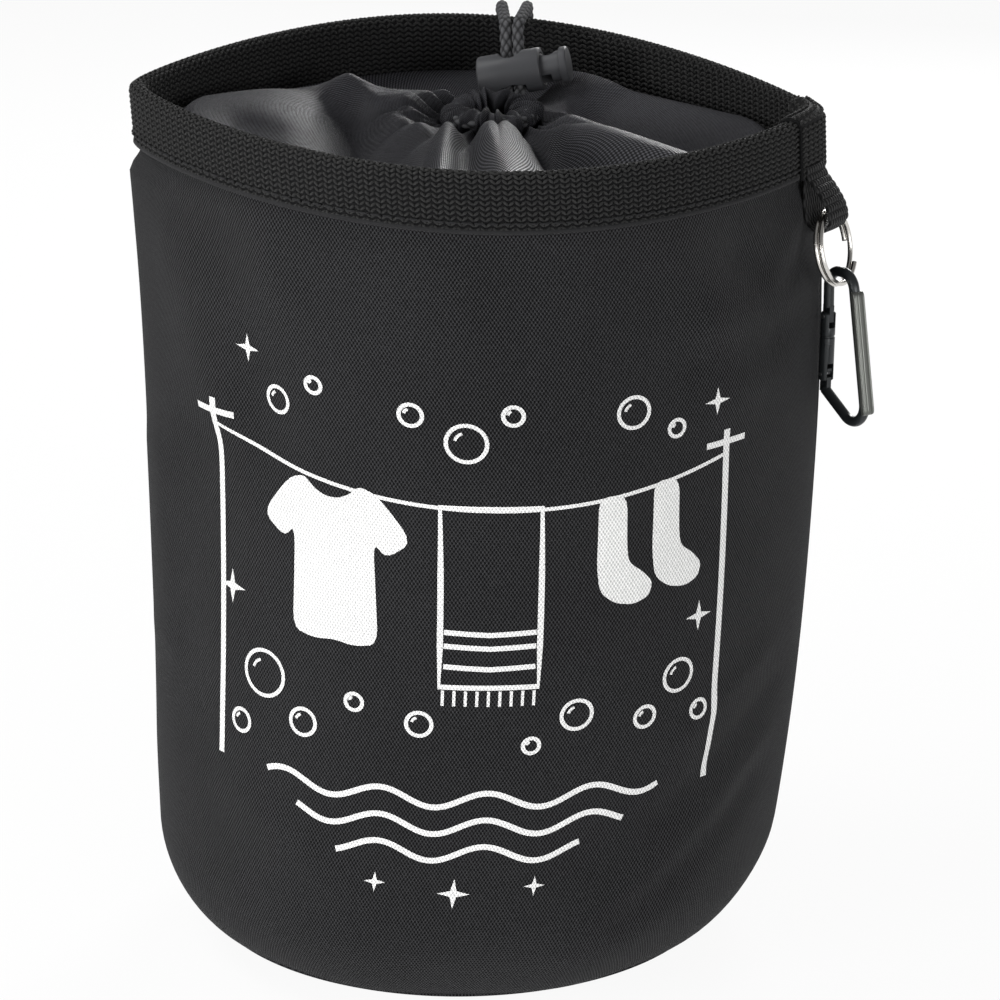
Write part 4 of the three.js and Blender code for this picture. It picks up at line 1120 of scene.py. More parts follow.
def liner_puckers(turn, share):
    """The gathers run on from the hem into the liner, some further than others, in millimetres."""
    reach = 0.14 + 0.06 * np.sin(3 * turn + 1) + 0.05 * np.sin(7 * turn)
    fold = 2 * np.abs(np.sin(gathers(turn) / 2)) ** 0.8 - 1.2
    fine = np.cos(41 * turn + 2 * np.sin(4 * turn))
    return PUCKER * fold * np.exp(-share / reach) + FINE_PUCKER * fine * np.exp(-share / FINE_REACH)


def hem_rise(turn):
    """The hem stands higher at the back, where the lock pulls it up."""
    return HEM_BACK_RISE * bell(wrapped(turn - HEM_BACK_TURN), HEM_BACK_WIDTH)


def liner_place(turn, share):
    """A place on the liner's upper face, by direction round the gather and share of the way to the rim."""
    edge = shaped(turn, LINER_EDGE_RADIUS, LINER_EDGE_HEIGHT)
    ring = np.stack([np.cos(turn), np.sin(turn), 0 * turn], -1)
    hem = GATHER + LINER_HEM_RADIUS * ring - np.array([0, 0, LINER_HEM_DROP])
    place = hem + (edge - hem) * share[..., None]
    free = ease(share, 0, HEM_FADE) * (1 - ease(share, 1 - RIM_FADE, 1))
    rise = free * liner_rise(place[..., 0] / MM, place[..., 1] / MM) + liner_puckers(turn, share)
    place[..., 2] += rise * MM + hem_rise(turn) * (1 - ease(share, 0, LIFT_FADE))
    return place


print("left crest", liner_place(np.array([3.0]), np.array([0.3])).round(4).tolist())

# %% Liner
LINER = 0.5 * MM
LINER_COLUMNS = 540
LINER_ROWS = 72
LINER_GIRTH = 600 * MM
LINER_DEPTH = 60 * MM

share, turn = crossed(np.linspace(1, 0, LINER_ROWS), full_turn(LINER_COLUMNS))
cloth = np.stack([turn / math.tau * LINER_GIRTH, share * LINER_DEPTH], -1)
liner = grid_piece("liner", liner_place(turn, share)[:, :-1], cloth, around=True)
print("liner area", round(sum(face.area for face in liner.data.polygons), 4), "m2")
solid(liner, LINER)
dress(liner, LINER_CLOTH, "bag", "liner_cloth", "closing_liner")

# %% Hem
HEM_COLUMNS = 560
HEM_SIDES = 28
HEM_RADIUS = 3.6 * MM
HEM_INSET = 1.3 * MM
HEM_SWING = 1.6 * MM
HEM_LEAN = 0.35
HEM_WAVES = (0.9 * MM, 0.7 * MM)
HEM_THICK = (0.55, 0.5)  # in a crease, and what a fold adds

turn = full_turn(HEM_COLUMNS, closed=False)[None, :]
section = full_turn(HEM_SIDES, closed=False)[:, None]
phase = gathers(turn)
strong = 1 + 0.3 * np.sin(4 * turn + 0.5) + 0.25 * np.sin(7 * turn + 1)
crease = np.abs(np.sin(phase / 2)) ** 0.6
ring_radius = GATHER_RADIUS - HEM_INSET + HEM_SWING * strong * np.cos(phase + 0.5 * np.sin(section))
reach = HEM_RADIUS * (HEM_THICK[0] + HEM_THICK[1] * crease * strong**0.5)
lean = HEM_LEAN * np.sin(phase * 0.5 + 2 * np.sin(3 * turn))
out = ring_radius + reach * np.cos(section + lean)
wave = HEM_WAVES[0] * np.sin(phase + 0.8) + HEM_WAVES[1] * np.sin(3 * turn + 1) + hem_rise(turn)
up = GATHER[2] + wave + reach * np.sin(section + lean)
hem = hoop_piece("hem", np.stack([GATHER[0] + out * np.cos(turn), GATHER[1] + out * np.sin(turn), up], -1))
dress(hem, LINER_CLOTH, "bag", "liner_cloth", "liner_hem")

# %% Cord inside the hem
CORD_EXIT = 72 * DEGREE
CORD_EXIT_TURN = 7 * MM
CORD_SPACING = 3.8 * MM

exit_side = CORD_SPACING / 2 + CORD_EXIT_TURN
exit_half = math.asin(exit_side / (GATHER_RADIUS + CORD_EXIT_TURN))
exit_along = math.sqrt((GATHER_RADIUS + CORD_EXIT_TURN) ** 2 - exit_side**2)
exit_way = np.array([math.cos(CORD_EXIT), math.sin(CORD_EXIT), 0])
exit_left = np.array([-math.sin(CORD_EXIT), math.cos(CORD_EXIT), 0])


def exit_bend(side, bend):
    """Where the cord turns out of the hem."""
    ahead = exit_way * (exit_along - CORD_EXIT_TURN * math.sin(bend))
    return GATHER + ahead + exit_left * side * (exit_side - CORD_EXIT_TURN * math.cos(bend))


bends = np.linspace(0, math.pi / 2 - exit_half, 5)
turns = np.linspace(CORD_EXIT + exit_half, CORD_EXIT - exit_half + math.tau, 25)[1:-1]
ring = [GATHER + GATHER_RADIUS * np.array([math.cos(t), math.sin(t), 0]) for t in turns]
inside = [exit_bend(1, b) for b in bends] + ring + [exit_bend(-1, b) for b in bends[::-1]]
hem_cord = plaited_cord("hem_cord", smooth_route(inside, CORD_STEP))
dress(hem_cord, GREY_CORD, "bag", "cord", "drawcord")

# %% [markdown]
# ## Print
# The front carries a white screen print, a plain laundry scene: a washing line with a shirt, a towel and
# socks, bubbles and waves. An image would be quick, and a thin skin that follows the wall keeps its edges
# sharp at any distance, so each motif is a flat outline laid on the wall's surface.

# %% Print helpers
print_work = bmesh.new()


def dots(points):
    """New points of the print, given in millimetres from its middle."""
    return [print_work.verts.new((x * MM, y * MM, 0)) for x, y in points]


def fill(points):
    """A filled motif from its outline."""
    print_work.faces.new(dots(points))


def ribbon(points, width, closed=False):
    """A drawn line of even width."""
    line = np.array(points, float)
    if closed:
        ahead = np.roll(line, -1, axis=0) - np.roll(line, 1, axis=0)
    else:
        ahead = np.gradient(line, axis=0)
    side = unit(np.stack([-ahead[:, 1], ahead[:, 0]], -1)) * width / 2
    left = dots(line + side)
    right = dots(line - side)
    for i in range(len(line) - (not closed)):
        j = (i + 1) % len(line)
        print_work.faces.new((right[i], right[j], left[j], left[i]))


def round_line(x, y, radius, start=0, end=360, count=48):
    """Points of an arc."""
    turn = np.linspace(start * DEGREE, end * DEGREE, count, endpoint=end - start < 360)
    return np.stack([x + radius * np.cos(turn), y + radius * np.sin(turn)], -1)


print("print helpers ready")

# %% Washing line
THIN_PEN = 1.1  # widths of drawn lines
HAIR_PEN = 0.8
BROAD_PEN = 1.7
POST_PEN = 2.2
LINE_SPAN = 74
LINE_TOP = 52
LINE_SAG = 9
LINE_SLOPE = 0.03
POST_PLACES = (7, -30, -62, -96)  # from the line's end
ARM_RISE = 3.4
ARM_PEN = 1.8


def line_height(x):
    """The washing line sags in the middle."""
    return LINE_TOP - LINE_SAG * (1 - (x / LINE_SPAN) ** 2) - LINE_SLOPE * x


x = np.linspace(-LINE_SPAN, LINE_SPAN, 90)
ribbon(np.stack([x, line_height(x)], -1), THIN_PEN)
for end in (-LINE_SPAN, LINE_SPAN):
    top = line_height(end)
    ribbon([(end, top + place) for place in POST_PLACES], POST_PEN)
    ribbon([(end + aside, top + ARM_RISE) for aside in (-7, 0, 7)], ARM_PEN)
print("line", 2 * LINE_SPAN, "mm long")

# %% Shirt, towel and socks
SHIRT_PLACE = -36
TOWEL_PLACE = 6
SOCK_PLACES = (38, 54)
HANG_RISE = 0.6
EDGE_PEN = 1.6
STRIPE_PEN = 1.5
STRIPES = (36, 40, 46)
STRIPE_SAG = 0.6
FRINGE = (-53, -55, -57.5)
SHIRT = [
    (-8, 0), (-5, -3), (-1.8, -4.6), (1.8, -4.6), (5, -3), (8, 0), (13, -2), (22, -14), (15, -19.5),
    (11.5, -15.5), (12, -30), (12.6, -45), (6, -46.5), (0, -45.6), (-6, -46.5), (-12.6, -45), (-12, -30),
    (-11.5, -15.5), (-15, -19.5), (-22, -14), (-13, -2),
]
SOCK = [
    (-4, 0), (4, 0), (4, -14), (4.6, -20), (9, -23.5), (12, -27), (11, -31), (6.5, -32.6), (1, -31.4),
    (-3.4, -27.6), (-4.4, -20), (-4.2, -10),
]
TOWEL = [(-13, 0), (13, 0), (13, -20), (13, -40), (13, -52), (-13, -52), (-13, -40), (-13, -20)]


def hung(points, x):
    """Moves a motif that is drawn from its top middle to the washing line."""
    return [(px + x, py + line_height(x) + HANG_RISE) for px, py in points]


def rounded(points, times=2):
    """Cuts the corners of an outline, as a pen would."""
    line = np.array(points, float)
    for _ in range(times):
        after = np.roll(line, -1, axis=0)
        line = np.stack([0.8 * line + 0.2 * after, 0.2 * line + 0.8 * after], 1).reshape(-1, 2)
    return line


fill(hung(rounded(SHIRT), SHIRT_PLACE))
for x in SOCK_PLACES:
    fill(hung(rounded(SOCK), x))
ribbon(hung(TOWEL, TOWEL_PLACE), EDGE_PEN, closed=True)
for drop in STRIPES:
    ribbon(hung([(-12, -drop), (0, -drop - STRIPE_SAG), (12, -drop)], TOWEL_PLACE), STRIPE_PEN)
for x in np.linspace(-12, 12, 9):
    ribbon(hung([(x, y) for y in FRINGE], TOWEL_PLACE), HAIR_PEN)
print("a shirt, a towel and two socks hang on the line")

# %% Bubbles, waves and sparkles
BUBBLES = [
    (-58, -14, 6.5), (-45, -25, 3.8), (-66, -30, 3.2), (-30, -16, 2.4), (60, -12, 4.6), (68, -24, 2.6),
    (50, -22, 3), (-12, -20, 3.4), (30, -18, 4.2), (18, -26, 2.2), (-52, 66, 3.6), (-40, 73, 2.2),
    (44, 68, 4.4), (57, 61, 2.4), (0, 62, 5.2), (12, 70, 2.6), (-14, 69, 3),
]
WAVES = ((-42, 1.0), (-50, 0.82), (-58, 0.6))  # height, and share of the full width
SPARKLES = [
    (-70, 8, 5), (70, 66, 4), (-62, 78, 4), (66, 4, 4.5), (0, -70, 4.5), (-22, -68, 3), (22, -68, 3),
]
SPARKLE_WAIST = 0.28
GLINT = 0.58
GLINT_ARC = (110, 165)
WAVE_REACH = 56
WAVE_HEIGHT = 2.3
WAVE_LENGTH = 4.6

for x, y, radius in BUBBLES:
    ribbon(round_line(x, y, radius), THIN_PEN, closed=True)
    ribbon(round_line(x, y, radius * GLINT, *GLINT_ARC, 8), HAIR_PEN)
for level, reach in WAVES:
    x = np.linspace(-WAVE_REACH, WAVE_REACH, 150) * reach
    ribbon(np.stack([x, level + WAVE_HEIGHT * np.sin(x / WAVE_LENGTH)], -1), BROAD_PEN)
for x, y, size in SPARKLES:
    turn = full_turn(8, closed=False)
    reach = np.where(np.arange(8) % 2, SPARKLE_WAIST, 1.0) * size
    fill(np.stack([x + reach * np.sin(turn), y + reach * np.cos(turn)], -1))
print(len(print_work.faces), "flat motifs")

# %% Lay the print on the wall
PRINT_MIDDLE = 113 * MM
PRINT_TURN = -math.pi / 2 - 0.06
PRINT_LIFT = 0.12 * MM
PRINT_GRAIN = 3.2 * MM

bmesh.ops.triangulate(print_work, faces=print_work.faces)
for _ in range(5):
    long_edges = [edge for edge in print_work.edges if edge.calc_length() > PRINT_GRAIN]
    if long_edges:
        bmesh.ops.subdivide_edges(print_work, edges=long_edges, cuts=1)
        bmesh.ops.triangulate(print_work, faces=print_work.faces)
flat = np.array([vertex.co for vertex in print_work.verts])
print_mesh = bpy.data.meshes.new("front_print")
print_work.to_mesh(print_mesh)
print_work.free()
angle = PRINT_TURN + flat[:, 0] / BODY_RADIUS
rise = TURN_LENGTH - TURN_CENTRE + PRINT_MIDDLE + flat[:, 1]
print_mesh.vertices.foreach_set("co", wall_surface(angle, rise, PRINT_LIFT).ravel())
loops = np.empty(len(print_mesh.loops), int)
print_mesh.loops.foreach_get("vertex_index", loops)
cloth = np.stack([(angle + math.tau) * BODY_RADIUS, rise], -1)[loops]
print_mesh.uv_layers.new(name="cloth").data.foreach_set("uv", cloth.ravel())
print_mesh.shade_smooth()
front_print = dress(new_piece("front_print", print_mesh), PRINT_WHITE, "bag", "bag_cloth")

# %% [markdown]
# ## Cord lock
# The toggle is moulded from satin plastic: a barrel with a hole for the cords, scooped where they leave it,
# and a sprung button with a flange. Both are turned from a profile round one axis and cut by simple shapes
# with Boolean modifiers, and a small bevel rounds the cut edges so that they catch the light.

# %% Plastic and metal finishes
GLOSS_BELOW = 0.07
GLOSS_ABOVE = 0.09
TONE_BELOW = 0.82
TONE_ABOVE = 1.15


def moulded(name, colour, roughness, metallic, grain, depth, specular=0.5):
    """A plain finish with a fine grain, a little uneven in gloss and colour."""
    material, tree, shader = finish(name, colour, roughness, metallic, specular)
    broad = noise(tree, scale=160.0, detail=2.0)
    gloss = {0: broad, 1: 0.3, 2: 0.7, 3: roughness - GLOSS_BELOW, 4: roughness + GLOSS_ABOVE}
    feed(tree, shader, {"Roughness": node(tree, "ShaderNodeMapRange", gloss).outputs[0]})
    two_tone(tree, shader, broad, [TONE_BELOW * c for c in colour], [TONE_ABOVE * c for c in colour])
    fine = noise(tree, scale=grain, detail=4.0)
    bumped(tree, shader, fine, strength=0.35, depth=depth)
    return material


# Colour, roughness, metallic, lumps of grain in a metre and their depth
LOCK_PLASTIC = moulded("lock_plastic", (0.058, 0.059, 0.064), 0.5, 0.0, 3000.0, 0.00004, 0.3)
SPRING_STEEL = moulded("spring_steel", (0.42, 0.42, 0.43), 0.3, 1.0, 2500.0, 0.00002)
NICKEL = moulded("nickel", (0.62, 0.6, 0.57), 0.22, 1.0, 1800.0, 0.00002)
CLIP_BLACK = moulded("clip_black", (0.022, 0.025, 0.027), 0.34, 0.35, 2400.0, 0.00002)
# A lighter copy of the clip's black finish, whose grey is painted sheen on the flat spine
SPINE_PAINTED_SHEEN = moulded("spine_painted_sheen", (0.13, 0.135, 0.125), 0.34, 0.7, 2400.0, 0.00002)
print([m.name for m in (LOCK_PLASTIC, SPRING_STEEL, NICKEL, CLIP_BLACK, SPINE_PAINTED_SHEEN)])

# %% Frames of the moving parts
def joint_axis(name):
    """The direction of a joint's axis."""
    return Vector(joints[name]["axis"]).normalized()


def joint_place(name):
    """A point on a hinge."""
    return Vector(joints[name]["pos_m"])


def frame_along(x, y, z):
    """A local frame with these directions as its axes."""
    return Matrix((x, y, z)).transposed().to_4x4()


def placed(matrix, points):
    """Points of a local frame in the bag's own frame."""
    points = np.asarray(points, float)
    return points @ np.array(matrix.to_3x3()).T + np.array(matrix.translation)


# %% Turning and cutting helpers
SHARP = 38 * DEGREE


def turned(name, profile, matrix, sides=56):
    """A solid turned round the local X axis, from pairs of place along it and radius, in millimetres."""
    profile = np.array(profile, float) * MM
    turn = full_turn(sides, closed=False)
    ring = np.stack([0 * turn, np.cos(turn), np.sin(turn)], -1)
    points = profile[:, None, :1] * np.array([1.0, 0, 0]) + profile[:, None, 1:] * ring
    cloth = np.zeros((len(profile), sides + 1, 2))
    return grid_piece(name, placed(matrix, points), cloth, around=True, capped=True)


def box_piece(name, matrix, low, high):
    """A block in a local frame, in millimetres."""
    mesh = bpy.data.meshes.new(name)
    with edited(mesh) as work:
        bmesh.ops.create_cube(work, size=1)
    low, high = (np.array(corner, float) * MM for corner in (low, high))
    unit_box = np.array([vertex.co for vertex in mesh.vertices])
    mesh.vertices.foreach_set("co", placed(matrix, (low + high) / 2 + unit_box * (high - low)).ravel())
    return new_piece(name, mesh)


def settle(piece, edge=0.0, cutters=(), joined=()):
    """Applies joins and cuts, and rounds the sharp edges."""
    for others, operation in ((joined, "UNION"), (cutters, "DIFFERENCE")):
        for other in others:
            modifier = piece.modifiers.new("cut", "BOOLEAN")
            modifier.operation = operation
            modifier.object = other
            modifier.solver = "EXACT"
    if edge:
        modifier = piece.modifiers.new("edge", "BEVEL")
        modifier.width = edge
        modifier.segments = 2
        modifier.limit_method = "ANGLE"
        modifier.angle_limit = SHARP
    result = bpy.data.meshes.new_from_object(piece.evaluated_get(bpy.context.evaluated_depsgraph_get()))
    piece.modifiers.clear()
    piece.data = result
    for other in (*joined, *cutters):
        bpy.data.objects.remove(other)
    result.set_sharp_from_angle(angle=SHARP)
    return piece


print("turning helpers ready")

# %% Barrel and button
LOCK_CENTRE = GATHER + np.array([7.2, 27.5, 8.1]) * MM
SCOOP_TURN = 24 * DEGREE
HOLE_HALF_WIDTH = 2.3
BARREL = [
    (-10.6, 0.5), (-10.6, 5.6), (-10.45, 6.1), (-10.1, 6.45), (-9.6, 6.6), (8.6, 6.6), (9, 6.45), (9.2, 6.1),
    (9.2, 5.1), (9, 4.95), (-9.3, 4.95), (-9.6, 4.6), (-9.6, 0.5),
]
BUTTON = [
    (-5.3, 0.5), (-5.3, 4.2), (-4.9, 4.6), (14.9, 4.6), (15.1, 4.8), (15.1, 5.3), (15.4, 5.6), (17.1, 5.6),
    (17.5, 5.2), (17.5, 0.5),
]

lock_along = -joint_axis("button_press")
lock_hole = joint_axis("lock_slide")
lock_frame = frame_along(lock_along, lock_hole.cross(lock_along), lock_hole)
lock_frame.translation = Vector(LOCK_CENTRE)
across_lock = lock_frame @ Matrix.Rotation(SCOOP_TURN, 4, "X") @ Matrix.Rotation(math.pi / 2, 4, "Z")


def scoop(x, z, radius):
    """A round cutter that lies across the lock."""
    at = across_lock @ Matrix.Translation((0, -x * MM, z * MM))
    return turned("scoop", [(-12, radius), (12, radius)], at, 40)


def cord_slot(start, end):
    """A square cutter for the cord hole."""
    return box_piece("slot", lock_frame, (start, -HOLE_HALF_WIDTH, -20), (end, HOLE_HALF_WIDTH, 20))


barrel = turned("lock_barrel", BARREL, lock_frame)
settle(barrel, 0.22 * MM, [cord_slot(-4.1, 4.1), scoop(0, 8.6, 4.4), scoop(0, -8.6, 4.4)])
dress(barrel, LOCK_PLASTIC, "cord_lock", "lock_plastic", "cord_lock_barrel")
button = turned("lock_button", BUTTON, lock_frame)
settle(button, 0.2 * MM, [cord_slot(-4.1, 12.2), scoop(11.6, 6.2, 2.9)])
dress(button, LOCK_PLASTIC, "lock_button", "lock_plastic", "cord_lock_button")

# %% Spring in the lock
LOCK_SPRING_TURNS = 2
LOCK_SPRING_RADIUS = 3.4
LOCK_SPRING_WIRE = 0.5
LOCK_SPRING_ENDS = (-9.05, -5.85)
LOCK_SPRING_STEPS = 90

turn = np.linspace(0, LOCK_SPRING_TURNS * math.tau, LOCK_SPRING_STEPS)
shift = np.linspace(*LOCK_SPRING_ENDS, LOCK_SPRING_STEPS)
coil = np.stack([shift, LOCK_SPRING_RADIUS * np.cos(turn), LOCK_SPRING_RADIUS * np.sin(turn)], -1) * MM
lock_spring = tube_piece("lock_spring", placed(lock_frame, coil), LOCK_SPRING_WIRE / 2 * MM, 10)
dress(lock_spring, SPRING_STEEL, "cord_lock", "spring_steel", "cord_lock_spring")
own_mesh(lock_spring)

# %% [markdown]
# ## Hanging tab
# A short loop of ribbed webbing is tucked under the binding at the side seam and carries the ring. It is one
# strip that goes down, round the ring and up again, so it is swept along that route, and its outer side
# swells at every rib. Its root is sewn to the bag and the rest swings.

# %% Route of the tab
TAB_WIDTH = 13 * MM
TAB_LENGTH = 17.0
TAB_WEBBING = 1.3
TAB_LOOP_RADIUS = 2.8
TAB_LOOP_HEIGHT = 8.4
TAB_START = 0.7
TAB_ROOT = 2.6  # how far it goes up under the binding
TAB_WAIST = 0.66  # how wide the loop is, halfway down to its shoulder
TAB_LEAN = 20 * DEGREE
TAB_STEP = 0.15 * MM
HINGE_OUT = 1.7 * MM

tab_across = -joint_axis("tab_swing")
tab_out = tab_across.cross(UP).normalized()
hanger = frame_along(tab_out, tab_across, UP)
hanger.translation = joint_place("tab_swing") - tab_out * HINGE_OUT
tab_frame = hanger @ Matrix.Rotation(-TAB_LEAN, 4, "Y")
middle = TAB_WEBBING / 2
bend_radius = TAB_LOOP_RADIUS + middle
loop_centre = -(TAB_LENGTH - TAB_WEBBING - TAB_LOOP_RADIUS)
shoulder = loop_centre - 2 * TAB_LOOP_RADIUS + TAB_LOOP_HEIGHT
route = [(middle, TAB_ROOT), (middle, -TAB_START)]
route += [(bend_radius * TAB_WAIST, (shoulder - TAB_START) / 2), (bend_radius, shoulder)]
bends = np.linspace(0, -math.pi, 16)
route += [(bend_radius * math.cos(b), loop_centre + bend_radius * math.sin(b)) for b in bends]
route += [(-x, z) for x, z in route[3::-1]]
flat_route = smooth_route([(x * MM, 0, z * MM) for x, z in route], TAB_STEP)
along = lengths_along(flat_route)
print("tab's strip", round(along[-1], 4), "m long")

# %% Hanging tab
TAB_RIB = 2.1 * MM
TAB_BODY = 0.84  # the share of the webbing's thickness that the ribs swell
RIB_LOW = 0.72
RIB_SWELL = 0.85
RIB_ROUND = 0.7
SMOOTH_SIDE = 0.92

ahead = unit(np.gradient(flat_route, axis=0))
thick = np.stack([-ahead[:, 2], 0 * ahead[:, 0], ahead[:, 0]], -1)
ribs = RIB_LOW + RIB_SWELL * np.abs(np.sin(math.pi * along / TAB_RIB)) ** RIB_ROUND
band = rounded_band(TAB_WIDTH, TAB_WEBBING * MM * TAB_BODY, 40)
points = flat_route[:, None] + band[None, :, 0, None] * np.array([0, 1.0, 0])
relief = np.where(band[None, :, 1] > 0, ribs[:, None], SMOOTH_SIDE)
points = points + (band[None, :, 1] * relief)[..., None] * thick[:, None]
cloth = np.stack(crossed(along, np.concatenate([band[:, 0], band[:1, 0]]))[::-1], -1)
tab = grid_piece("tab", placed(tab_frame, points), cloth, around=True, capped=True)
# The gap colour is painted shade between the threads of the ribbed webbing
TAB_RIBS = woven(
    "tab_webbing", thread=(0.016, 0.016, 0.0165), gap=(0.003, 0.003, 0.0033), pitch=(1.5 * MM, TAB_RIB * 2),
    depth=0.0003, roughness=0.6, specular=0.2,
)
tab.data.materials.append(TAB_RIBS)
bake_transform(tab)
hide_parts("hanging_tab")

# %% [markdown]
# ## Ring, clip and gate
# A split ring is a coil of nearly two turns. The clip is a bent rod with a flat grooved spine, closed by a
# gate on a rivet. Each is a tube or a turned bar on the lines of the CAD model, and smooth where the CAD
# model has facets.

# %% Split ring
RING_RADIUS = 10.6
RING_WIRE = 1.5
RING_PITCH = 2.0
RING_LAY = 1.6  # the turns as they lie, closer than in the solid
RING_TURNS = 1.9
RING_STEPS = 240
RING_LEAN = 11 * DEGREE
LOOP_TURN = 0.75 - RING_TURNS / 2

ring_inner = RING_RADIUS - RING_WIRE / 2
ring_half = (RING_PITCH + RING_WIRE) / 2
loop_sag = TAB_LOOP_RADIUS - math.sqrt(TAB_LOOP_RADIUS**2 - ring_half**2)
ring_drop = math.sqrt(ring_inner**2 - (TAB_WIDTH / MM / 2) ** 2) - loop_sag - CLEARANCE / MM
ring_down = tab_out * math.sin(RING_LEAN) - UP * math.cos(RING_LEAN)
ring_frame = hanger @ Matrix.Rotation(-RING_LEAN, 4, "Y")
ring_frame.translation = joint_place("ring_swing") + ring_down * ring_drop * MM
turn = np.linspace(0, RING_TURNS * math.tau, RING_STEPS)
shift = RING_LAY * RING_TURNS * (np.linspace(0, 1, RING_STEPS) - 0.5) - RING_LAY * LOOP_TURN
coil = np.stack([shift, RING_RADIUS * np.cos(turn), RING_RADIUS * np.sin(turn)], -1) * MM
ring = tube_piece("ring", placed(ring_frame, coil), RING_WIRE / 2 * MM, 18)
dress(ring, NICKEL, "ring", "nickel", "split_ring")

# %% Clip frame and rod
ROD_RADIUS = 1.8
ROD_LOOK = 1.55  # the rod is a little slimmer than its solid
TOP_BEND = 5.0
FOOT_BEND = 5.5
CLIP_LEAN = 2 * DEGREE
CLIP_STEP = 0.25
CORNERS = np.array([(-5.6, -9.5), (-5.4, 1.8), (5.4, 1.8), (12.8, -47.6), (-7, -34.5)])

clip_across = -joint_axis("clip_swing")
clip_out = clip_across.cross(UP).normalized() * math.cos(CLIP_LEAN) + UP * math.sin(CLIP_LEAN)
clip_frame = frame_along(clip_out, clip_across, clip_out.cross(clip_across))
top_centre = Vector((0, 0, (ROD_RADIUS - TOP_BEND) * MM))
clip_frame.translation = joint_place("clip_swing") - clip_frame.to_3x3() @ top_centre


def bent(corners, bends):
    """A path of straight runs with round corners."""
    points = [corners[0]]
    for i, radius in enumerate(bends, 1):
        before, after = unit(corners[i] - corners[i - 1]), unit(corners[i + 1] - corners[i])
        turn = math.acos(before @ after)
        centre = corners[i] + unit(after - before) * radius / math.cos(turn / 2)
        first = corners[i] - before * radius * math.tan(turn / 2) - centre
        sweep = np.sign(before[0] * after[1] - before[1] * after[0]) * np.linspace(0, turn, 24)
        cosine, sine = np.cos(sweep), np.sin(sweep)
        arc = [first[0] * cosine - first[1] * sine, first[0] * sine + first[1] * cosine]
        points += list(np.stack(arc, -1) + centre)
    path = np.array([*points, corners[-1]])
    along = lengths_along(path)
    even = np.linspace(0, along[-1], round(along[-1] / CLIP_STEP))
    return np.stack([np.interp(even, along, path[:, 0]), 0 * even, np.interp(even, along, path[:, 1])], -1)


rod_path = placed(clip_frame, bent(CORNERS, (TOP_BEND, TOP_BEND, FOOT_BEND)) * MM)
rod = tube_piece("clip_rod", rod_path, ROD_LOOK * MM, 28, first=clip_across)
print("rod", round(lengths_along(rod_path)[-1], 4), "m")

# %% Tongues for the gate
PIVOT_INSET = 2.6
LATCH_INSET = 4.8
TONGUE = (1.6, 0.8)  # half its width and half its thickness
TONGUE_REACH = 1.8  # past the pivot or the latch
TONGUE_ROOT = 0.6  # inside the rod
PIVOT_HOLE = 1.1
LATCH_GAP = 0.9


def frame_on(start, run):
    """A frame at a place of the clip, with its Z axis against a straight run."""
    moved = clip_frame @ Matrix.Translation((start[0] * MM, 0, start[1] * MM))
    return moved @ Matrix.Rotation(-math.atan2(run[0], -run[1]), 4, "Y")


def tongue(low, high):
    """A flat tongue of the rod, between two heights in the gate's frame."""
    width, thickness = TONGUE
    return box_piece("tongue", gate_frame, (-width, -thickness, low), (width, thickness, high))


gate_run = CORNERS[4] - CORNERS[0]
gate_span = np.linalg.norm(gate_run)
latch_drop = gate_span - PIVOT_INSET - LATCH_INSET
gate_frame = frame_on(CORNERS[0] + gate_run * PIVOT_INSET / gate_span, gate_run)
upper = tongue(-TONGUE_REACH, PIVOT_INSET + TONGUE_ROOT)
nose = tongue(-latch_drop - LATCH_INSET - TONGUE_ROOT, -latch_drop + TONGUE_REACH)
across_gate = gate_frame @ Matrix.Rotation(math.pi / 2, 4, "Z")
pivot_hole = turned("hole", [(-4, PIVOT_HOLE), (4, PIVOT_HOLE)], across_gate, 24)
gap_low, gap_high = (-LATCH_GAP, -3, -latch_drop - LATCH_GAP), (3.2, 3, -latch_drop + LATCH_GAP)
latch_gap = box_piece("gap", gate_frame, gap_low, gap_high)
settle(rod, 0.0, [pivot_hole, latch_gap], [upper, nose])
dress(rod, CLIP_BLACK, "clip", "clip_metal", "clip_body")

# %% Flat spine
PLATE_IN = 0.6
PLATE_OUT = 2.3
PLATE_WIDTH = 4.0
PLATE_FOOT = 9.0
PLATE_START = 4.8
PLATE_COLUMNS = 33
PLATE_EDGE = 0.5
GROOVE_PLACE = 0.95
GROOVE_WIDTH = 0.28
GROOVE_DEPTH = 0.45
END_ROUND = 1.6
END_HEIGHT = 0.35  # shares that are left at the plate's ends
END_WIDTH = 0.86
END_STEP = 1.8
SPINE_SHARP = 50 * DEGREE

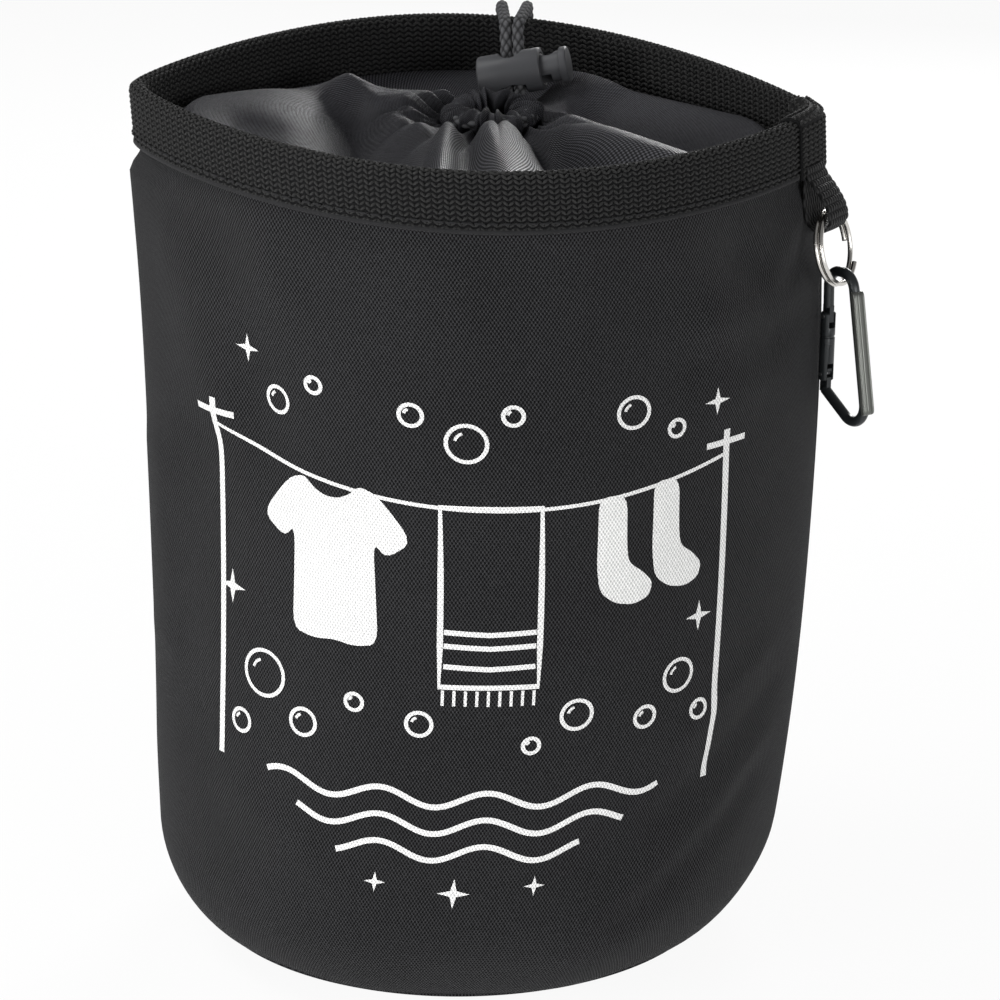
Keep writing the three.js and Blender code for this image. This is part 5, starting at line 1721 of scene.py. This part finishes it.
spine_run = CORNERS[3] - CORNERS[2]
spine_frame = frame_on(CORNERS[2], spine_run)
plate_length = np.linalg.norm(spine_run) - PLATE_FOOT - PLATE_START
width = np.concatenate([np.linspace(-1, 1, PLATE_COLUMNS), np.linspace(1, -1, 9)]) * PLATE_WIDTH / 2
groove = GROOVE_DEPTH * bell(np.abs(width) - GROOVE_PLACE, GROOVE_WIDTH)
face = PLATE_OUT - groove - PLATE_EDGE * np.abs(2 * width / PLATE_WIDTH) ** 8
out = np.where(np.arange(len(width)) < PLATE_COLUMNS, face, PLATE_IN)
ends = np.array([0, 0.25, 0.6, 1.1])
middle = np.linspace(END_STEP, plate_length - END_STEP, 40)
drop = np.concatenate([ends, middle, plate_length - ends[::-1]])[:, None]
close = np.clip(np.minimum(drop, plate_length - drop) / END_ROUND, 0, 1)
full = np.sqrt(np.clip(1 - (1 - close) ** 2, 0, 1))
height = PLATE_IN + (out - PLATE_IN) * (END_HEIGHT + (1 - END_HEIGHT) * full)
narrowed = width * (END_WIDTH + (1 - END_WIDTH) * full)
points = np.stack([height, narrowed, -PLATE_START - drop + 0 * height], -1)
cloth = np.zeros((len(drop), len(width) + 1, 2))
spine = grid_piece("clip_spine", placed(spine_frame, points * MM), cloth, around=True, capped=True)
spine.data.set_sharp_from_angle(angle=SPINE_SHARP)
# The plate's grey finish is painted sheen on a part of the black clip
dress(spine, SPINE_PAINTED_SHEEN, "clip", "clip_metal")

# %% Gate
GATE_RADIUS = 2.2
GATE_END_RADIUS = 1.7
GATE_CORNER = 0.5
GATE_TOP = 1.2
GATE_FOOT = latch_drop + 2
GATE_SLOT = 1.1
GATE_PROFILE = [
    (-GATE_FOOT, 0.3), (-GATE_FOOT, GATE_END_RADIUS), (-GATE_FOOT + GATE_CORNER, GATE_RADIUS),
    (-6.6, GATE_RADIUS), (-6.4, 2.0), (-6.0, 2.0), (-5.8, GATE_RADIUS),
    (GATE_TOP - GATE_CORNER, GATE_RADIUS), (GATE_TOP, GATE_END_RADIUS), (GATE_TOP, 0.3),
]

gate = turned("gate", GATE_PROFILE, gate_frame @ Matrix.Rotation(-math.pi / 2, 4, "Y"), 40)
slots = []
for low, high in ((-3.4, 5), (-latch_drop - 5, -latch_drop + 3.4)):
    slots.append(box_piece("slot", gate_frame, (-5, -GATE_SLOT, low), (5, GATE_SLOT, high)))
settle(gate, 0.12 * MM, slots)
dress(gate, CLIP_BLACK, "gate", "clip_metal", "clip_gate")
for name in ("gate_rivet", "gate_latch_pin", "gate_spring"):
    part = frame["nodes"][name].data
    part.materials.clear()
    part.materials.append(SPRING_STEEL)
print("rivet, pin and gate spring keep their CAD shape")
